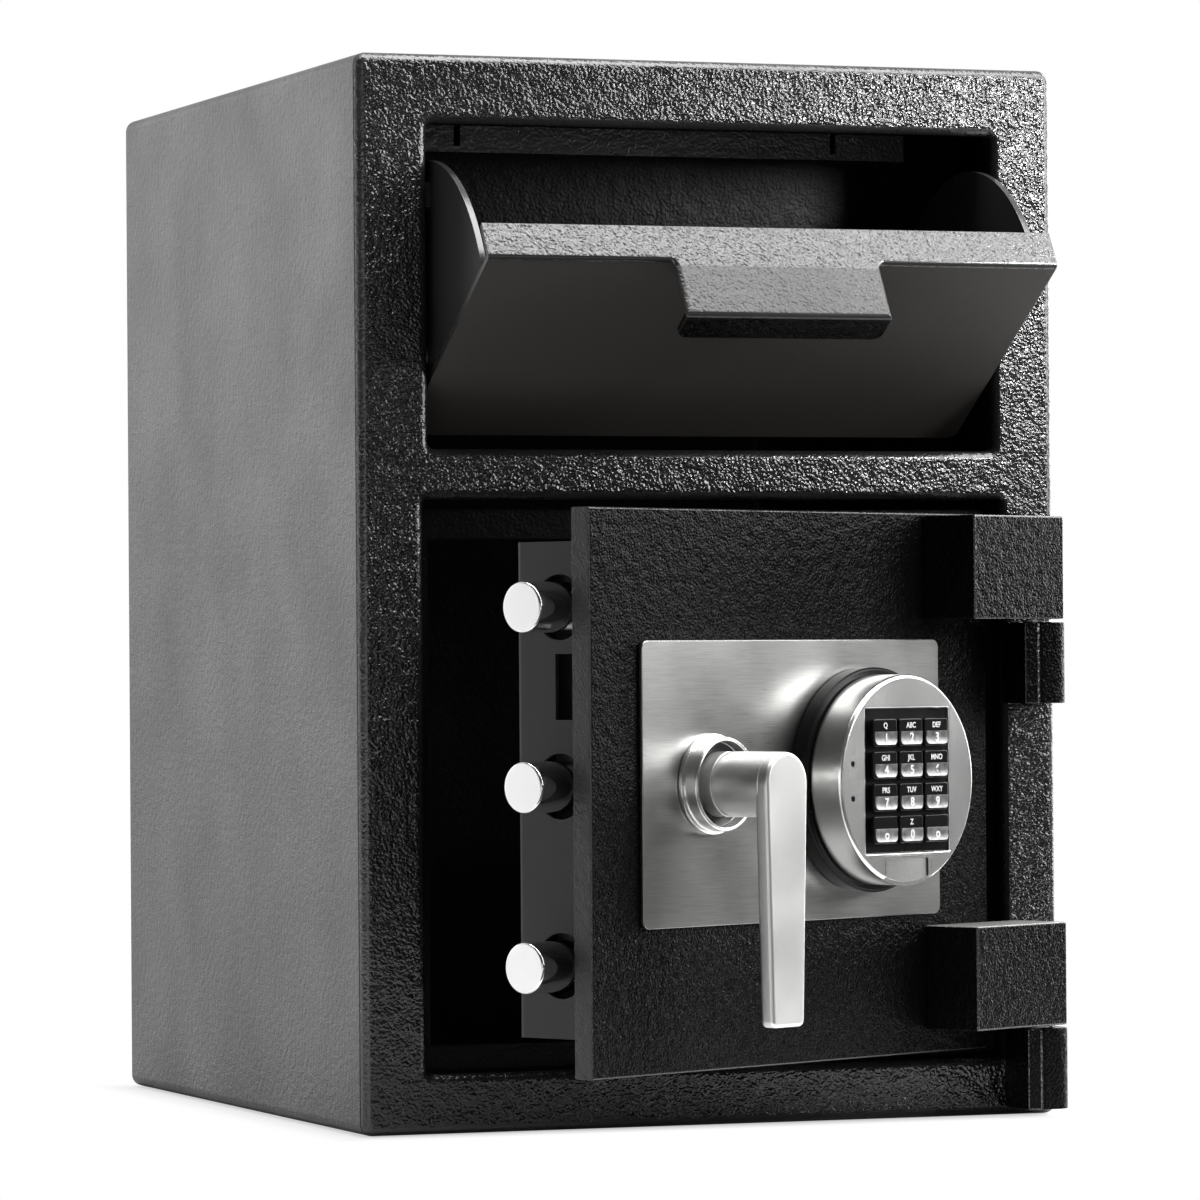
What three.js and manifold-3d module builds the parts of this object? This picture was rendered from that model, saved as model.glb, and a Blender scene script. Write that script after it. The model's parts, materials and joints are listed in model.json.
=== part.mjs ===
// Drop safe with a rotary deposit drawer above a keypad-locked door.
// Millimetres, +Z up. The origin is the middle of the underside; the front faces -Y.
// Every piece is drawn shut, then the drawer and the door are swung open about their pivots.

import * as THREE from "three";
import { mergeVertices } from "three/addons/utils/BufferGeometryUtils.js";
import Module from "manifold-3d";

const wasm = await Module();
wasm.setup();

// Clearances and cuts that all pieces share
const seam = 0.3;
const overrun = 8;

// Body
const bodyWidth = 355.6;
const bodyDepth = 396.2;
const bodyHeight = 508;
const bodyWall = 4;
const bodyBend = 6;
const frontThickness = 6;
const frontEdge = 3;
const backInset = 1.5;
const anchorRadius = 6.5;
const anchorFromSide = 62.8;
const anchorFromFront = 73.1;

// The two openings in the front, which sit a little to the right of the middle
const openingShift = 1.6;
const openingCorner = 3;
const hatchStile = 33.7;
const hatchHeader = 32.8;
const hatchHeight = 153;
const crossRail = 24;
const doorwayStile = 30.65;
const doorwayBottom = 28.5;

// Rebate behind the doorway that the shut door closes against
const stopSheet = 3;
const stopSetback = 1.8;
const stopDepth = 9;
const stopLeft = 5.3;
const stopRight = 9.4;
const stopTop = 18.2;
const stopHeadroom = 4.4;
const stopBottom = 12.5;

// Drawer: a bent panel, two cheeks and a floor that turn together
const drawerOpenDegrees = 58.5;
const pivotBehind = 18.4;
const pivotRise = 43.7;
const drawerSheet = 3;
const panelGap = 1.6;
const panelRecess = 1;
const panelGapTop = 2.2;
const panelGapBottom = 3.3;
const panelCorner = 5;
const flangeDepth = 19.4;
const bendRadius = 4;
const tabWidth = 102.5;
const tabReach = 30.5;
const tabDrop = 19;
const tabCorner = 5;
const tabFillet = 3;
const cheekRadius = 93;
const cheekInset = 1.5;
const floorSlopeDegrees = 30;
const floorBelowPivot = 10.7;
const lugHeight = 12;
const lugDepth = 6;
const lugRise = 70;
const lugCatch = 2.1;

// What carries the drawer and keeps hands out below and behind it
const bracketSheet = 3;
const bracketGap = 6;
const bracketDepth = 44;
const bracketRise = 34.1;
const pivotPinRadius = 5;
const pivotShoulder = 7.5;
const pivotPlay = 0.3;
const guardSheet = 3;
const guardBelowHatch = 3.7;
const guardBend = 55;
const guardEnd = 92;
const guardUnderFloor = 3.5;
const guardOverhang = 2;
const bumperRadius = 6;
const bumperInset = 38;
const bumperPlace = 72;
const baffleBehind = 100;
const baffleSheet = 3;
const baffleHeight = 90;
const channelDepth = 8;
const channelHeight = 34.4;
const channelInset = 7.5;
const slitInset = 38;
const slitWidth = 3.3;
const slitHeight = 11;

// Door and its hinges
const doorOpenDegrees = 28.4;
const doorThickness = 11;
const doorRecess = 0.3;
const doorEdge = 1.2;
const doorGapFree = 2.25;
const doorGapHinge = 4.45;
const doorGapBottom = 5;
const doorGapTop = 6.9;
const hingeBeside = 10.25;
const hingeAhead = 19;
const blockHeight = 49.6;
const blockFront = 12.6;
const blockReach = 63.2;
const blockPast = 6.2;
const blockBack = 9.5;
const blockEdge = 1;
const upperBlockMargin = 1.3;
const lowerBlockMargin = 11.3;
const knuckleHeight = 39;
const knuckleWidth = 23.5;
const knuckleFront = 28.5;
const knuckleRound = 8;
const knuckleGap = 1.6;
const knuckleGroove = 8;
const grooveDepth = 0.9;
const grooveWidth = 1.2;
const hingePinRadius = 4.75;
const hingePlay = 0.3;
const hingePinDown = 24;
const hingePinUp = 28;
const washerRadius = 7.5;

// Bolt work behind the door
const boxSheet = 2;
const boxInset = 10;
const boxHingeInset = 17.3;
const boxDepth = 43.3;
const boxInsetBottom = 17.1;
const boxInsetTop = 15.2;
const boxCorner = 2.5;
const boxBend = 4;
const boxSlotDrop = 21.2;
const boxSlotHeight = 29.9;
const boxSlotWidth = 13.4;
const boxSlotBack = 18.8;
const lockRise = 2.6;
const boltRadius = 11.6;
const boltChamfer = 1;
const boltFromBoxTop = 29.8;
const boltPast = 15.3;
const boltBehind = 16.4;
const boltHole = 15;
const boltLength = 58;
const boltTravel = 24;
const boltPlay = 0.3;
const guideSheet = 4;
const guideInset = 15.8;
const guideMargin = 18;
const barSheet = 6;
const barWidth = 18;
const barInBolt = 12;
const barPast = 14;
const tonguePastPin = 14.9;
const tongueHeight = 40;
const leverTurnDegrees = 90;
const camRadius = 13;
const camThickness = 5;
const camPin = 3;
const camPinLength = 14;
const camSlotPlay = 0.9;
const lockCaseWidth = 62;
const lockCaseHeight = 66;
const lockCaseDepth = 27;

// Escutcheon, lever and keypad on the front of the door
const plateThickness = 2;
const plateWidth = 215.3;
const plateHeight = 131.1;
const plateShift = 3.55;
const plateRise = 0.45;
const plateCorner = 4;
const leverFromPlate = 47.2;
const rosetteRadius = 23.2;
const rosetteStep = 2.5;
const rosetteLip = 0.9;
const rosetteHeight = 10;
const rosetteRim = 1.8;
const rosetteFloor = 4;
const spindleRadius = 5;
const spindlePlay = 0.4;
const spindleInHub = 12;
const hubRadius = 15;
const leverStandOff = 46;
const armThickness = 7.7;
const armLength = 110;
const armTipWidth = 22.4;
const armTipCorner = 3;
const armEdge = 1.2;
const keypadFromPlate = 156.6;
const keypadRadius = 49.5;
const keypadBaseRadius = 53;
const keypadBaseHeight = 9;
const keypadHeight = 28;
const keypadEdge = 1.5;
const keypadWindowWidth = 62.4;
const keypadWindowHeight = 67.6;
const keypadWindowRise = 33.7;
const keypadWindowCorner = 1.5;
const keypadWindowDepth = 4;
const keyMatThickness = 2;
const keyPitchX = 19;
const keyPitchZ = 15.1;
const keyWidth = 17;
const keyHeight = 12.9;
const keyCorner = 1.4;
const keyCap = 2.6;
const keyTravel = 1;
const keyRowDrop = 11.4;
const keyEdge = 0.4;
const keyStem = 2.5;
const numeralWidth = 15.9;
const numeralHeight = 6.6;
const numeralRise = 0.7;
const numeralDrop = 1.45;
const coverWidth = 34.4;
const coverHeight = 12.1;
const coverThickness = 1.2;
const coverBelow = 35.3;
const coverPlay = 0.2;
const lampRadius = 1.2;
const lampFromCentre = 40.5;
const lampSpacing = 16.2;
const lampDepth = 3;

// Counts of facets
const roundSides = 36;
const smallSides = 20;
const stemSides = 12;
const cornerSteps = 4;

// Colours and finishes
const finishes = {
  shell: { color: 0x1c1c1d, roughness: 0.55, metalness: 0.2 },
  drawer: { color: 0x23211f, roughness: 0.4, metalness: 0.2 },
  inner: { color: 0x161616, roughness: 0.6, metalness: 0.2 },
  rubber: { color: 0x121212, roughness: 0.9, metalness: 0 },
  chrome: { color: 0xe6e6e6, roughness: 0.12, metalness: 1 },
  zinc: { color: 0xb9b9b6, roughness: 0.35, metalness: 1 },
  brushed: { color: 0xbdbdbb, roughness: 0.3, metalness: 1 },
  satin: { color: 0xd4d4d2, roughness: 0.28, metalness: 0.9 },
  keypad: { color: 0x0c0c0d, roughness: 0.35, metalness: 0 },
  lamp: { color: 0x1a1a1c, roughness: 0.2, metalness: 0 },
};
const materials = Object.fromEntries(
  Object.entries(finishes).map(([name, look]) => [name, new THREE.MeshStandardMaterial({ name, ...look })]),
);

// Solids: three.js shapes in, one closed mesh out

function solid(geometry) {
  const bare = geometry.index ? geometry.toNonIndexed() : geometry;
  bare.deleteAttribute("normal");
  bare.deleteAttribute("uv");
  const merged = mergeVertices(bare, 1e-4);
  return new wasm.Manifold(
    new wasm.Mesh({
      numProp: 3,
      vertProperties: merged.attributes.position.array,
      triVerts: new Uint32Array(merged.index.array),
    }),
  );
}

function geometryOf(body) {
  const mesh = body.getMesh();
  const geometry = new THREE.BufferGeometry();
  geometry.setAttribute("position", new THREE.BufferAttribute(mesh.vertProperties, 3));
  geometry.setIndex(new THREE.BufferAttribute(mesh.triVerts, 1));
  geometry.computeVertexNormals();
  return geometry;
}

const join = (first, ...others) => others.reduce((whole, other) => whole.add(other), first);
const cut = (first, ...others) => others.reduce((whole, other) => whole.subtract(other), first);

// A rectangle with round corners, drawn counter-clockwise
function rectangle(left, low, right, high, radius = 0) {
  const shape = new THREE.Shape();
  if (!radius) {
    shape.moveTo(left, low).lineTo(right, low).lineTo(right, high).lineTo(left, high).closePath();
    return shape;
  }
  shape.moveTo(left + radius, low);
  shape.absarc(right - radius, low + radius, radius, -Math.PI / 2, 0);
  shape.absarc(right - radius, high - radius, radius, 0, Math.PI / 2);
  shape.absarc(left + radius, high - radius, radius, Math.PI / 2, Math.PI);
  shape.absarc(left + radius, low + radius, radius, Math.PI, Math.PI * 1.5);
  return shape;
}

function polygon(points) {
  const shape = new THREE.Shape();
  points.forEach(([x, y], index) => (index ? shape.lineTo(x, y) : shape.moveTo(x, y)));
  shape.closePath();
  return shape;
}

// A shape extruded along an axis. Seen from the front, x and z draw a "y" slab;
// y and z draw an "x" slab; x and y draw a "z" slab.
const axes = {
  x: [new THREE.Vector3(0, 1, 0), new THREE.Vector3(0, 0, 1), new THREE.Vector3(1, 0, 0)],
  y: [new THREE.Vector3(1, 0, 0), new THREE.Vector3(0, 0, 1), new THREE.Vector3(0, -1, 0)],
  z: [new THREE.Vector3(1, 0, 0), new THREE.Vector3(0, 1, 0), new THREE.Vector3(0, 0, 1)],
};

function slab(axis, shape, from, to, options = {}) {
  const geometry = new THREE.ExtrudeGeometry(shape, {
    depth: to - from,
    bevelEnabled: false,
    curveSegments: cornerSteps,
    ...options,
  });
  const start = axis === "y" ? -to : from;
  geometry.translate(0, 0, start);
  geometry.applyMatrix4(new THREE.Matrix4().makeBasis(...axes[axis]));
  return solid(geometry);
}

const box = (x0, y0, z0, x1, y1, z1) => slab("z", rectangle(x0, y0, x1, y1), z0, z1);

// A slab facing the front whose front edge, and the edges of its holes, are rounded
function softSlab(shape, front, back, edge, steps = 2) {
  const long = slab("y", shape, front + edge, back + edge, {
    bevelEnabled: true,
    bevelThickness: edge,
    bevelSize: edge,
    bevelOffset: -edge,
    bevelSegments: steps,
  });
  const size = bodyWidth + bodyHeight;
  return cut(long, box(-size, back, -size, size, back + edge * 2 + overrun, size));
}

// A cylinder between two places along an axis, centred at the other two coordinates
function rod(axis, radius, from, to, centre, sides = smallSides, endRadius = radius) {
  const geometry = new THREE.CylinderGeometry(endRadius, radius, to - from, sides);
  geometry.translate(0, (from + to) / 2, 0);
  if (axis === "x") geometry.rotateZ(-Math.PI / 2).translate(0, centre[0], centre[1]);
  if (axis === "y") geometry.translate(centre[0], 0, centre[1]);
  if (axis === "z") geometry.rotateX(Math.PI / 2).translate(centre[0], centre[1], 0);
  return solid(geometry);
}

// A profile of [radius, height above the face] turned about an axis that points to the front
function turned(profile, face, centre, sides = roundSides) {
  const geometry = new THREE.LatheGeometry(profile.map(([r, h]) => new THREE.Vector2(r, h)), sides);
  geometry.rotateX(Math.PI).translate(centre[0], face, centre[1]);
  return solid(geometry);
}

const radians = THREE.MathUtils.degToRad;

// A solid turned about a line along X through a point of the Y-Z plane
function tilted(body, degrees, [y, z]) {
  const geometry = geometryOf(body);
  geometry.translate(0, -y, -z).rotateX(radians(degrees)).translate(0, y, z);
  return solid(geometry);
}

function mesh(name, material, body) {
  const made = new THREE.Mesh(geometryOf(body), materials[material]);
  made.name = name;
  return made;
}

// Places that several pieces share
const front = -bodyDepth / 2;
const back = bodyDepth / 2;
const frameBack = front + frontThickness;
const wrapStart = frameBack + seam;
const insideHalf = bodyWidth / 2 - bodyWall;
const ceiling = bodyHeight - bodyWall;
const hatchWidth = bodyWidth - hatchStile * 2;
const hatchLeft = openingShift - hatchWidth / 2;
const hatchRight = openingShift + hatchWidth / 2;
const hatchTop = bodyHeight - hatchHeader;
const hatchBottom = hatchTop - hatchHeight;
const doorwayWidth = bodyWidth - doorwayStile * 2;
const doorwayLeft = openingShift - doorwayWidth / 2;
const doorwayRight = openingShift + doorwayWidth / 2;
const doorwayTop = hatchBottom - crossRail;
const pivotHeight = hatchBottom + pivotRise;
const pivot = [front + pivotBehind, pivotHeight];
const hinge = [doorwayRight + hingeBeside, front - hingeAhead];

// Body: a front frame, the wrap of sides, top and bottom behind it, and the back panel

function frontFrame() {
  const outline = rectangle(-bodyWidth / 2, 0, bodyWidth / 2, bodyHeight, bodyBend);
  outline.holes.push(rectangle(hatchLeft, hatchBottom, hatchRight, hatchTop, openingCorner));
  outline.holes.push(rectangle(doorwayLeft, doorwayBottom, doorwayRight, doorwayTop, openingCorner));
  return softSlab(outline, front, frameBack, frontEdge);
}

function bodyWrap() {
  const outline = rectangle(-bodyWidth / 2, 0, bodyWidth / 2, bodyHeight, bodyBend);
  const innerBend = bodyBend - bodyWall;
  outline.holes.push(rectangle(-insideHalf, bodyWall, insideHalf, ceiling, innerBend));
  const tube = slab("y", outline, wrapStart, back);
  const holes = [-1, 1].flatMap((sideX) =>
    [-1, 1].map((sideY) => {
      const centre = [sideX * (bodyWidth / 2 - anchorFromSide), sideY * (back - anchorFromFront)];
      return rod("z", anchorRadius, -overrun, bodyWall + overrun, centre);
    }),
  );
  return cut(tube, ...holes);
}

function backPanel() {
  const half = insideHalf - seam;
  const shape = rectangle(-half, bodyWall + seam, half, ceiling - seam, bodyBend - bodyWall);
  return slab("y", shape, back - backInset - bodyWall, back - backInset);
}

function doorStopFrame() {
  const sleeve = rectangle(
    doorwayLeft - stopSetback - stopSheet,
    doorwayBottom - stopSetback - stopSheet,
    doorwayRight + stopSetback + stopSheet,
    doorwayTop - stopHeadroom,
  );
  const rim = [
    doorwayLeft - stopSetback,
    doorwayBottom - stopSetback,
    doorwayRight + stopSetback,
    doorwayTop + overrun,
  ];
  const flangeStart = frameBack + stopDepth - stopSheet;
  const mouth = [
    doorwayLeft + stopLeft,
    doorwayBottom + stopBottom,
    doorwayRight - stopRight,
    doorwayTop - stopTop,
  ];
  return cut(
    slab("y", sleeve, wrapStart, frameBack + stopDepth),
    slab("y", rectangle(...rim), wrapStart - overrun, flangeStart),
    slab("y", rectangle(...mouth), flangeStart - overrun, frameBack + stopDepth + overrun),
  );
}

// Drawer, shut: the panel's outline runs from its lower edge up, over the bend and back

const panelFace = front + panelRecess;
const panelTop = hatchTop - panelGapTop;
const panelBottom = hatchBottom + panelGapBottom;
const panelHalf = hatchWidth / 2 - panelGap;
const panelInner = panelFace + drawerSheet;
const cheekOuter = panelHalf - cheekInset;
const cheekInner = cheekOuter - drawerSheet;

// Two distances out from the middle of the openings, on one side, as a rising pair
function outward(side, near, far) {
  return [near, far].map((x) => openingShift + side * x).sort((a, b) => a - b);
}

function bentSection(width, points) {
  return slab("x", points, openingShift - width / 2, openingShift + width / 2);
}

function drawerPanel() {
  const inside = bendRadius - drawerSheet;
  const panel = new THREE.Shape();
  panel.moveTo(panelFace, panelBottom);
  panel.lineTo(panelInner, panelBottom);
  panel.lineTo(panelInner, panelTop - drawerSheet - inside);
  panel.absarc(panelInner + inside, panelTop - drawerSheet - inside, inside, Math.PI, Math.PI / 2, true);
  panel.lineTo(panelFace + flangeDepth, panelTop - drawerSheet);
  panel.lineTo(panelFace + flangeDepth, panelTop);
  panel.lineTo(panelFace + bendRadius, panelTop);
  panel.absarc(panelFace + bendRadius, panelTop - bendRadius, bendRadius, Math.PI / 2, Math.PI);
  const outline = rectangle(
    openingShift - panelHalf,
    panelBottom,
    openingShift + panelHalf,
    panelTop + overrun,
    panelCorner,
  );
  const depth = [panelFace - overrun, panelFace + flangeDepth + overrun];
  const sheet = bentSection(panelHalf * 2, panel).intersect(slab("y", outline, ...depth));
  return join(sheet, pullTab());
}

// The pull tab runs on from the panel's top flange, forward and then down
function pullTab() {
  const nose = panelFace - tabReach;
  const inside = bendRadius - drawerSheet;
  const section = new THREE.Shape();
  section.moveTo(panelFace + flangeDepth / 2, panelTop);
  section.lineTo(nose + bendRadius, panelTop);
  section.absarc(nose + bendRadius, panelTop - bendRadius, bendRadius, Math.PI / 2, Math.PI);
  section.lineTo(nose, panelTop - tabDrop);
  section.lineTo(nose + drawerSheet, panelTop - tabDrop);
  section.lineTo(nose + drawerSheet, panelTop - bendRadius);
  section.absarc(nose + bendRadius, panelTop - bendRadius, inside, Math.PI, Math.PI / 2, true);
  section.lineTo(panelFace + flangeDepth / 2, panelTop - drawerSheet);
  const half = tabWidth / 2;
  const root = panelFace + bendRadius;
  const plan = new THREE.Shape();
  plan.moveTo(-half, nose - overrun);
  plan.lineTo(half, nose - overrun);
  plan.lineTo(half, panelFace - tabFillet);
  plan.absarc(half + tabFillet, panelFace - tabFillet, tabFillet, Math.PI, Math.PI / 2, true);
  plan.lineTo(half + tabFillet, root);
  plan.lineTo(-half - tabFillet, root);
  plan.absarc(-half - tabFillet, panelFace - tabFillet, tabFillet, Math.PI / 2, 0, true);
  const reach = [panelTop - tabDrop - overrun, panelTop + overrun];
  const wide = tabWidth + tabFillet * 2;
  const flat = slab("x", section, -wide, wide).intersect(slab("z", plan, ...reach));
  const face = rectangle(-wide, panelTop - tabDrop, wide, panelTop + overrun);
  const corners = rectangle(-half, panelTop - tabDrop, half, panelTop + overrun, tabCorner);
  const nosePart = slab("y", corners, nose - overrun, nose + bendRadius);
  const rest = slab("y", face, nose + bendRadius, back);
  return flat.intersect(join(nosePart, rest)).translate([openingShift, 0, 0]);
}

// Points measured from the pivot along the sloping floor and square to it
const floorAngle = radians(-floorSlopeDegrees);
function onFloor(along, above) {
  const y = along * Math.cos(floorAngle) - above * Math.sin(floorAngle);
  const z = along * Math.sin(floorAngle) + above * Math.cos(floorAngle);
  return [pivot[0] + y, pivot[1] + z];
}

// How far along the floor a line at this height above the pivot meets the panel or the cheek's arc
const floorStart = (above) =>
  (panelInner + seam - pivot[0] + above * Math.sin(floorAngle)) / Math.cos(floorAngle);
const floorEnd = (above) => Math.sqrt((cheekRadius - seam) ** 2 - above ** 2);

function drawerFloor() {
  const top = -floorBelowPivot;
  const under = top - drawerSheet;
  const shape = polygon([
    onFloor(floorStart(under), under),
    onFloor(floorEnd(under), under),
    onFloor(floorEnd(under), top),
    onFloor(floorStart(top), top),
  ]);
  return slab("x", shape, openingShift - cheekInner + seam, openingShift + cheekInner - seam);
}

function cheek(side) {
  const under = -floorBelowPivot - drawerSheet;
  const panelLine = panelInner + seam;
  const leftOfPivot = pivot[0] - panelLine;
  const startAngle = Math.acos(-leftOfPivot / cheekRadius);
  const end = onFloor(Math.sqrt(cheekRadius ** 2 - under ** 2), under);
  const endAngle = Math.atan2(end[1] - pivot[1], end[0] - pivot[0]);
  const shape = new THREE.Shape();
  shape.moveTo(...onFloor(floorStart(under), under));
  shape.lineTo(...end);
  shape.absarc(pivot[0], pivot[1], cheekRadius, endAngle, startAngle);
  const sides = outward(side, cheekInner, cheekOuter);
  const options = { curveSegments: roundSides / 2 };
  const plate = slab("x", shape, ...sides, options);
  const hole = rod("x", pivotPinRadius + pivotPlay, sides[0] - overrun, sides[1] + overrun, pivot);
  return join(cut(plate, hole), stopLug(side));
}

// The lug on each cheek meets the back of the front frame when the drawer is fully open
function stopLug(side) {
  const [low, high] = outward(side, cheekOuter - drawerSheet / 2, hatchWidth / 2 + lugCatch);
  const bottom = pivotHeight + lugRise;
  const open = box(low, frameBack + seam, bottom, high, frameBack + seam + lugDepth, bottom + lugHeight);
  return tilted(open, -drawerOpenDegrees, pivot);
}

// Brackets and pivot pins that carry the drawer

const bracketTop = pivotHeight + bracketRise;
const guardTop = hatchBottom - guardBelowHatch;
const bracketInner = cheekOuter + bracketGap;
const bracketOuter = bracketInner + bracketSheet;

function pivotBracket(side) {
  const low = guardTop + seam;
  const rear = wrapStart + bracketDepth;
  const shape = new THREE.Shape();
  shape.moveTo(wrapStart, low).lineTo(rear, low).lineTo(rear, pivotHeight);
  shape.lineTo(wrapStart + bracketDepth / 2, bracketTop).lineTo(wrapStart, bracketTop).closePath();
  const sides = outward(side, bracketInner, bracketOuter);
  const hole = rod("x", pivotPinRadius + seam, sides[0] - overrun, sides[1] + overrun, pivot);
  return cut(slab("x", shape, ...sides), hole);
}

function pivotPin(side) {
  const shank = rod("x", pivotPinRadius, ...outward(side, cheekInner, bracketOuter), pivot);
  const between = outward(side, cheekOuter + seam, bracketInner - seam);
  const shoulder = rod("x", pivotShoulder, ...between, pivot);
  return join(shank, shoulder);
}

// The guard below the drawer slopes back under the drawer's floor
function drawerGuard() {
  const under = -floorBelowPivot - drawerSheet - guardUnderFloor;
  const slopeAt = (y, above) => {
    const along = (y - pivot[0] + above * Math.sin(floorAngle)) / Math.cos(floorAngle);
    return onFloor(along, above);
  };
  const start = wrapStart;
  const bend = slopeAt(front + guardBend, under);
  const tail = slopeAt(front + guardEnd, under);
  const knee = front + guardBend - (bend[1] - guardTop) / Math.tan(floorAngle);
  const thick = guardSheet;
  const lift = thick / Math.cos(floorAngle);
  const shape = polygon([
    [start, guardTop - thick],
    [knee - thick * Math.tan(-floorAngle / 2), guardTop - thick],
    [tail[0], tail[1] - lift],
    tail,
    [knee, guardTop],
    [start, guardTop],
  ]);
  const half = bracketOuter + guardOverhang;
  return slab("x", shape, openingShift - half, openingShift + half);
}

function floorBumper(side) {
  const under = -floorBelowPivot - drawerSheet;
  const [y, z] = onFloor(bumperPlace, under - guardUnderFloor / 2);
  const half = guardUnderFloor / 2 - seam;
  const x = openingShift + side * (cheekInner - bumperInset);
  const pad = rod("z", bumperRadius, z - half, z + half, [x, y]);
  return tilted(pad, -floorSlopeDegrees, [y, z]);
}

// The baffle hangs from the ceiling behind the drawer, stiffened by a channel across its top
function fishingBaffle() {
  const half = insideHalf - seam;
  const y = front + baffleBehind;
  const high = ceiling - seam;
  const shape = rectangle(-half, ceiling - baffleHeight, half, high, bodyBend - bodyWall);
  return slab("y", shape, y, y + baffleSheet);
}

function baffleChannel() {
  const y = front + baffleBehind - seam;
  const high = ceiling - seam;
  const channelBottom = ceiling - channelHeight;
  const channelHalf = hatchWidth / 2 - channelInset;
  const shape = polygon([
    [y - channelDepth, channelBottom],
    [y, channelBottom],
    [y, channelBottom + baffleSheet],
    [y - channelDepth + baffleSheet, channelBottom + baffleSheet],
    [y - channelDepth + baffleSheet, high],
    [y - channelDepth, high],
  ]);
  const bar = bentSection(channelHalf * 2, shape);
  const slits = [-1, 1].map((side) => {
    const x = openingShift + side * (channelHalf - slitInset);
    const low = channelBottom + baffleSheet;
    const slit = rectangle(x - slitWidth / 2, low, x + slitWidth / 2, low + slitHeight);
    return slab("y", slit, y - channelDepth - overrun, y - seam);
  });
  return cut(bar, ...slits);
}

// Door plate and what is fixed to it, all drawn shut

const doorFace = front + doorRecess;
const doorBack = doorFace + doorThickness;
const doorLeft = doorwayLeft + doorGapFree;
const doorRight = doorwayRight - doorGapHinge;
const doorLow = doorwayBottom + doorGapBottom;
const doorHigh = doorwayTop - doorGapTop;
const lockHeight = (doorLow + doorHigh) / 2 + lockRise;
const plateLeft = (doorLeft + doorRight - plateWidth) / 2 - plateShift;
const plateBottom = lockHeight - plateHeight / 2 + plateRise;
const plateFace = doorFace - seam - plateThickness;
const leverX = plateLeft + leverFromPlate;
const keypadX = plateLeft + keypadFromPlate;
const lever = [leverX, lockHeight];
const keypad = [keypadX, lockHeight];

function doorPlate() {
  const shape = rectangle(doorLeft, doorLow, doorRight, doorHigh);
  const spindleHole = rod("y", spindleRadius + spindlePlay, doorFace - overrun, doorBack + overrun, lever);
  return cut(softSlab(shape, doorFace, doorBack, doorEdge, 1), spindleHole);
}

// The hinge block stands on the door; its end is rounded about the pin so that it clears the frame
function hingeBlock(bottom) {
  const [x, y] = hinge;
  const shape = new THREE.Shape();
  const left = x - blockReach;
  const right = x + blockPast;
  shape.moveTo(left, doorFace - seam);
  shape.lineTo(left, y - blockFront + blockEdge);
  shape.lineTo(left + blockEdge, y - blockFront);
  shape.lineTo(right - blockEdge, y - blockFront);
  shape.lineTo(right, y - blockFront + blockEdge);
  const backAngle = Math.acos(blockPast / blockBack);
  shape.absarc(x, y, blockBack, backAngle, Math.PI / 2);
  shape.lineTo(doorRight, y + blockBack);
  shape.lineTo(doorRight, doorFace - seam);
  shape.closePath();
  const whole = slab("z", shape, bottom, bottom + blockHeight);
  const bore = rod("z", hingePinRadius + hingePlay, bottom - overrun, bottom + hingePinUp + seam, hinge);
  return cut(whole, bore);
}

function hingeKnuckle(blockBottom) {
  const top = blockBottom - knuckleGap;
  const left = doorwayRight + seam;
  const right = left + knuckleWidth;
  const rear = front - seam;
  const face = front - knuckleFront;
  const groove = left + knuckleGroove;
  const shape = new THREE.Shape();
  shape.moveTo(left, rear);
  shape.lineTo(left, face + blockEdge);
  shape.lineTo(left + blockEdge, face);
  shape.lineTo(groove - grooveWidth / 2, face);
  shape.lineTo(groove, face + grooveDepth);
  shape.lineTo(groove + grooveWidth / 2, face);
  shape.absarc(right - knuckleRound, face + knuckleRound, knuckleRound, -Math.PI / 2, 0);
  shape.lineTo(right, rear);
  shape.closePath();
  const whole = slab("z", shape, top - knuckleHeight, top);
  const bore = rod("z", hingePinRadius + seam, top - hingePinDown - seam, top + overrun, hinge);
  return cut(whole, bore);
}

function hingePin(blockBottom) {
  const top = blockBottom - knuckleGap;
  return rod("z", hingePinRadius, top - hingePinDown, blockBottom + hingePinUp, hinge);
}

function hingeWasher(blockBottom) {
  const low = blockBottom - knuckleGap + seam;
  const high = blockBottom - seam;
  const ring = rod("z", washerRadius, low, high, hinge);
  return cut(ring, rod("z", hingePinRadius + hingePlay, low - overrun, high + overrun, hinge));
}

// Bolt work: a cover box, a guide, the bar with its three bolts, and the lock case

const boxFront = doorBack + seam;
const boxBack = boxFront + boxDepth;
const boxLeft = doorLeft + boxInset;
const boxBottom = doorLow + boxInsetBottom;
const boxTop = doorHigh - boxInsetTop;
const boxRight = doorRight - boxHingeInset;
const boltY = boxFront + boltBehind;
const boltTip = doorLeft - boltPast;
const boltPitch = boxTop - boltFromBoxTop - lockHeight;
const boltHeights = [-1, 0, 1].map((step) => lockHeight + step * boltPitch);
const barLeft = boltTip + boltLength - barInBolt;
const camPinAngle = radians(leverTurnDegrees / 2);
const camThrow = boltTravel / 2 / Math.sin(camPinAngle);
const camPinPlace = [leverX - boltTravel / 2, lockHeight + camThrow * Math.cos(camPinAngle)];

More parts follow.
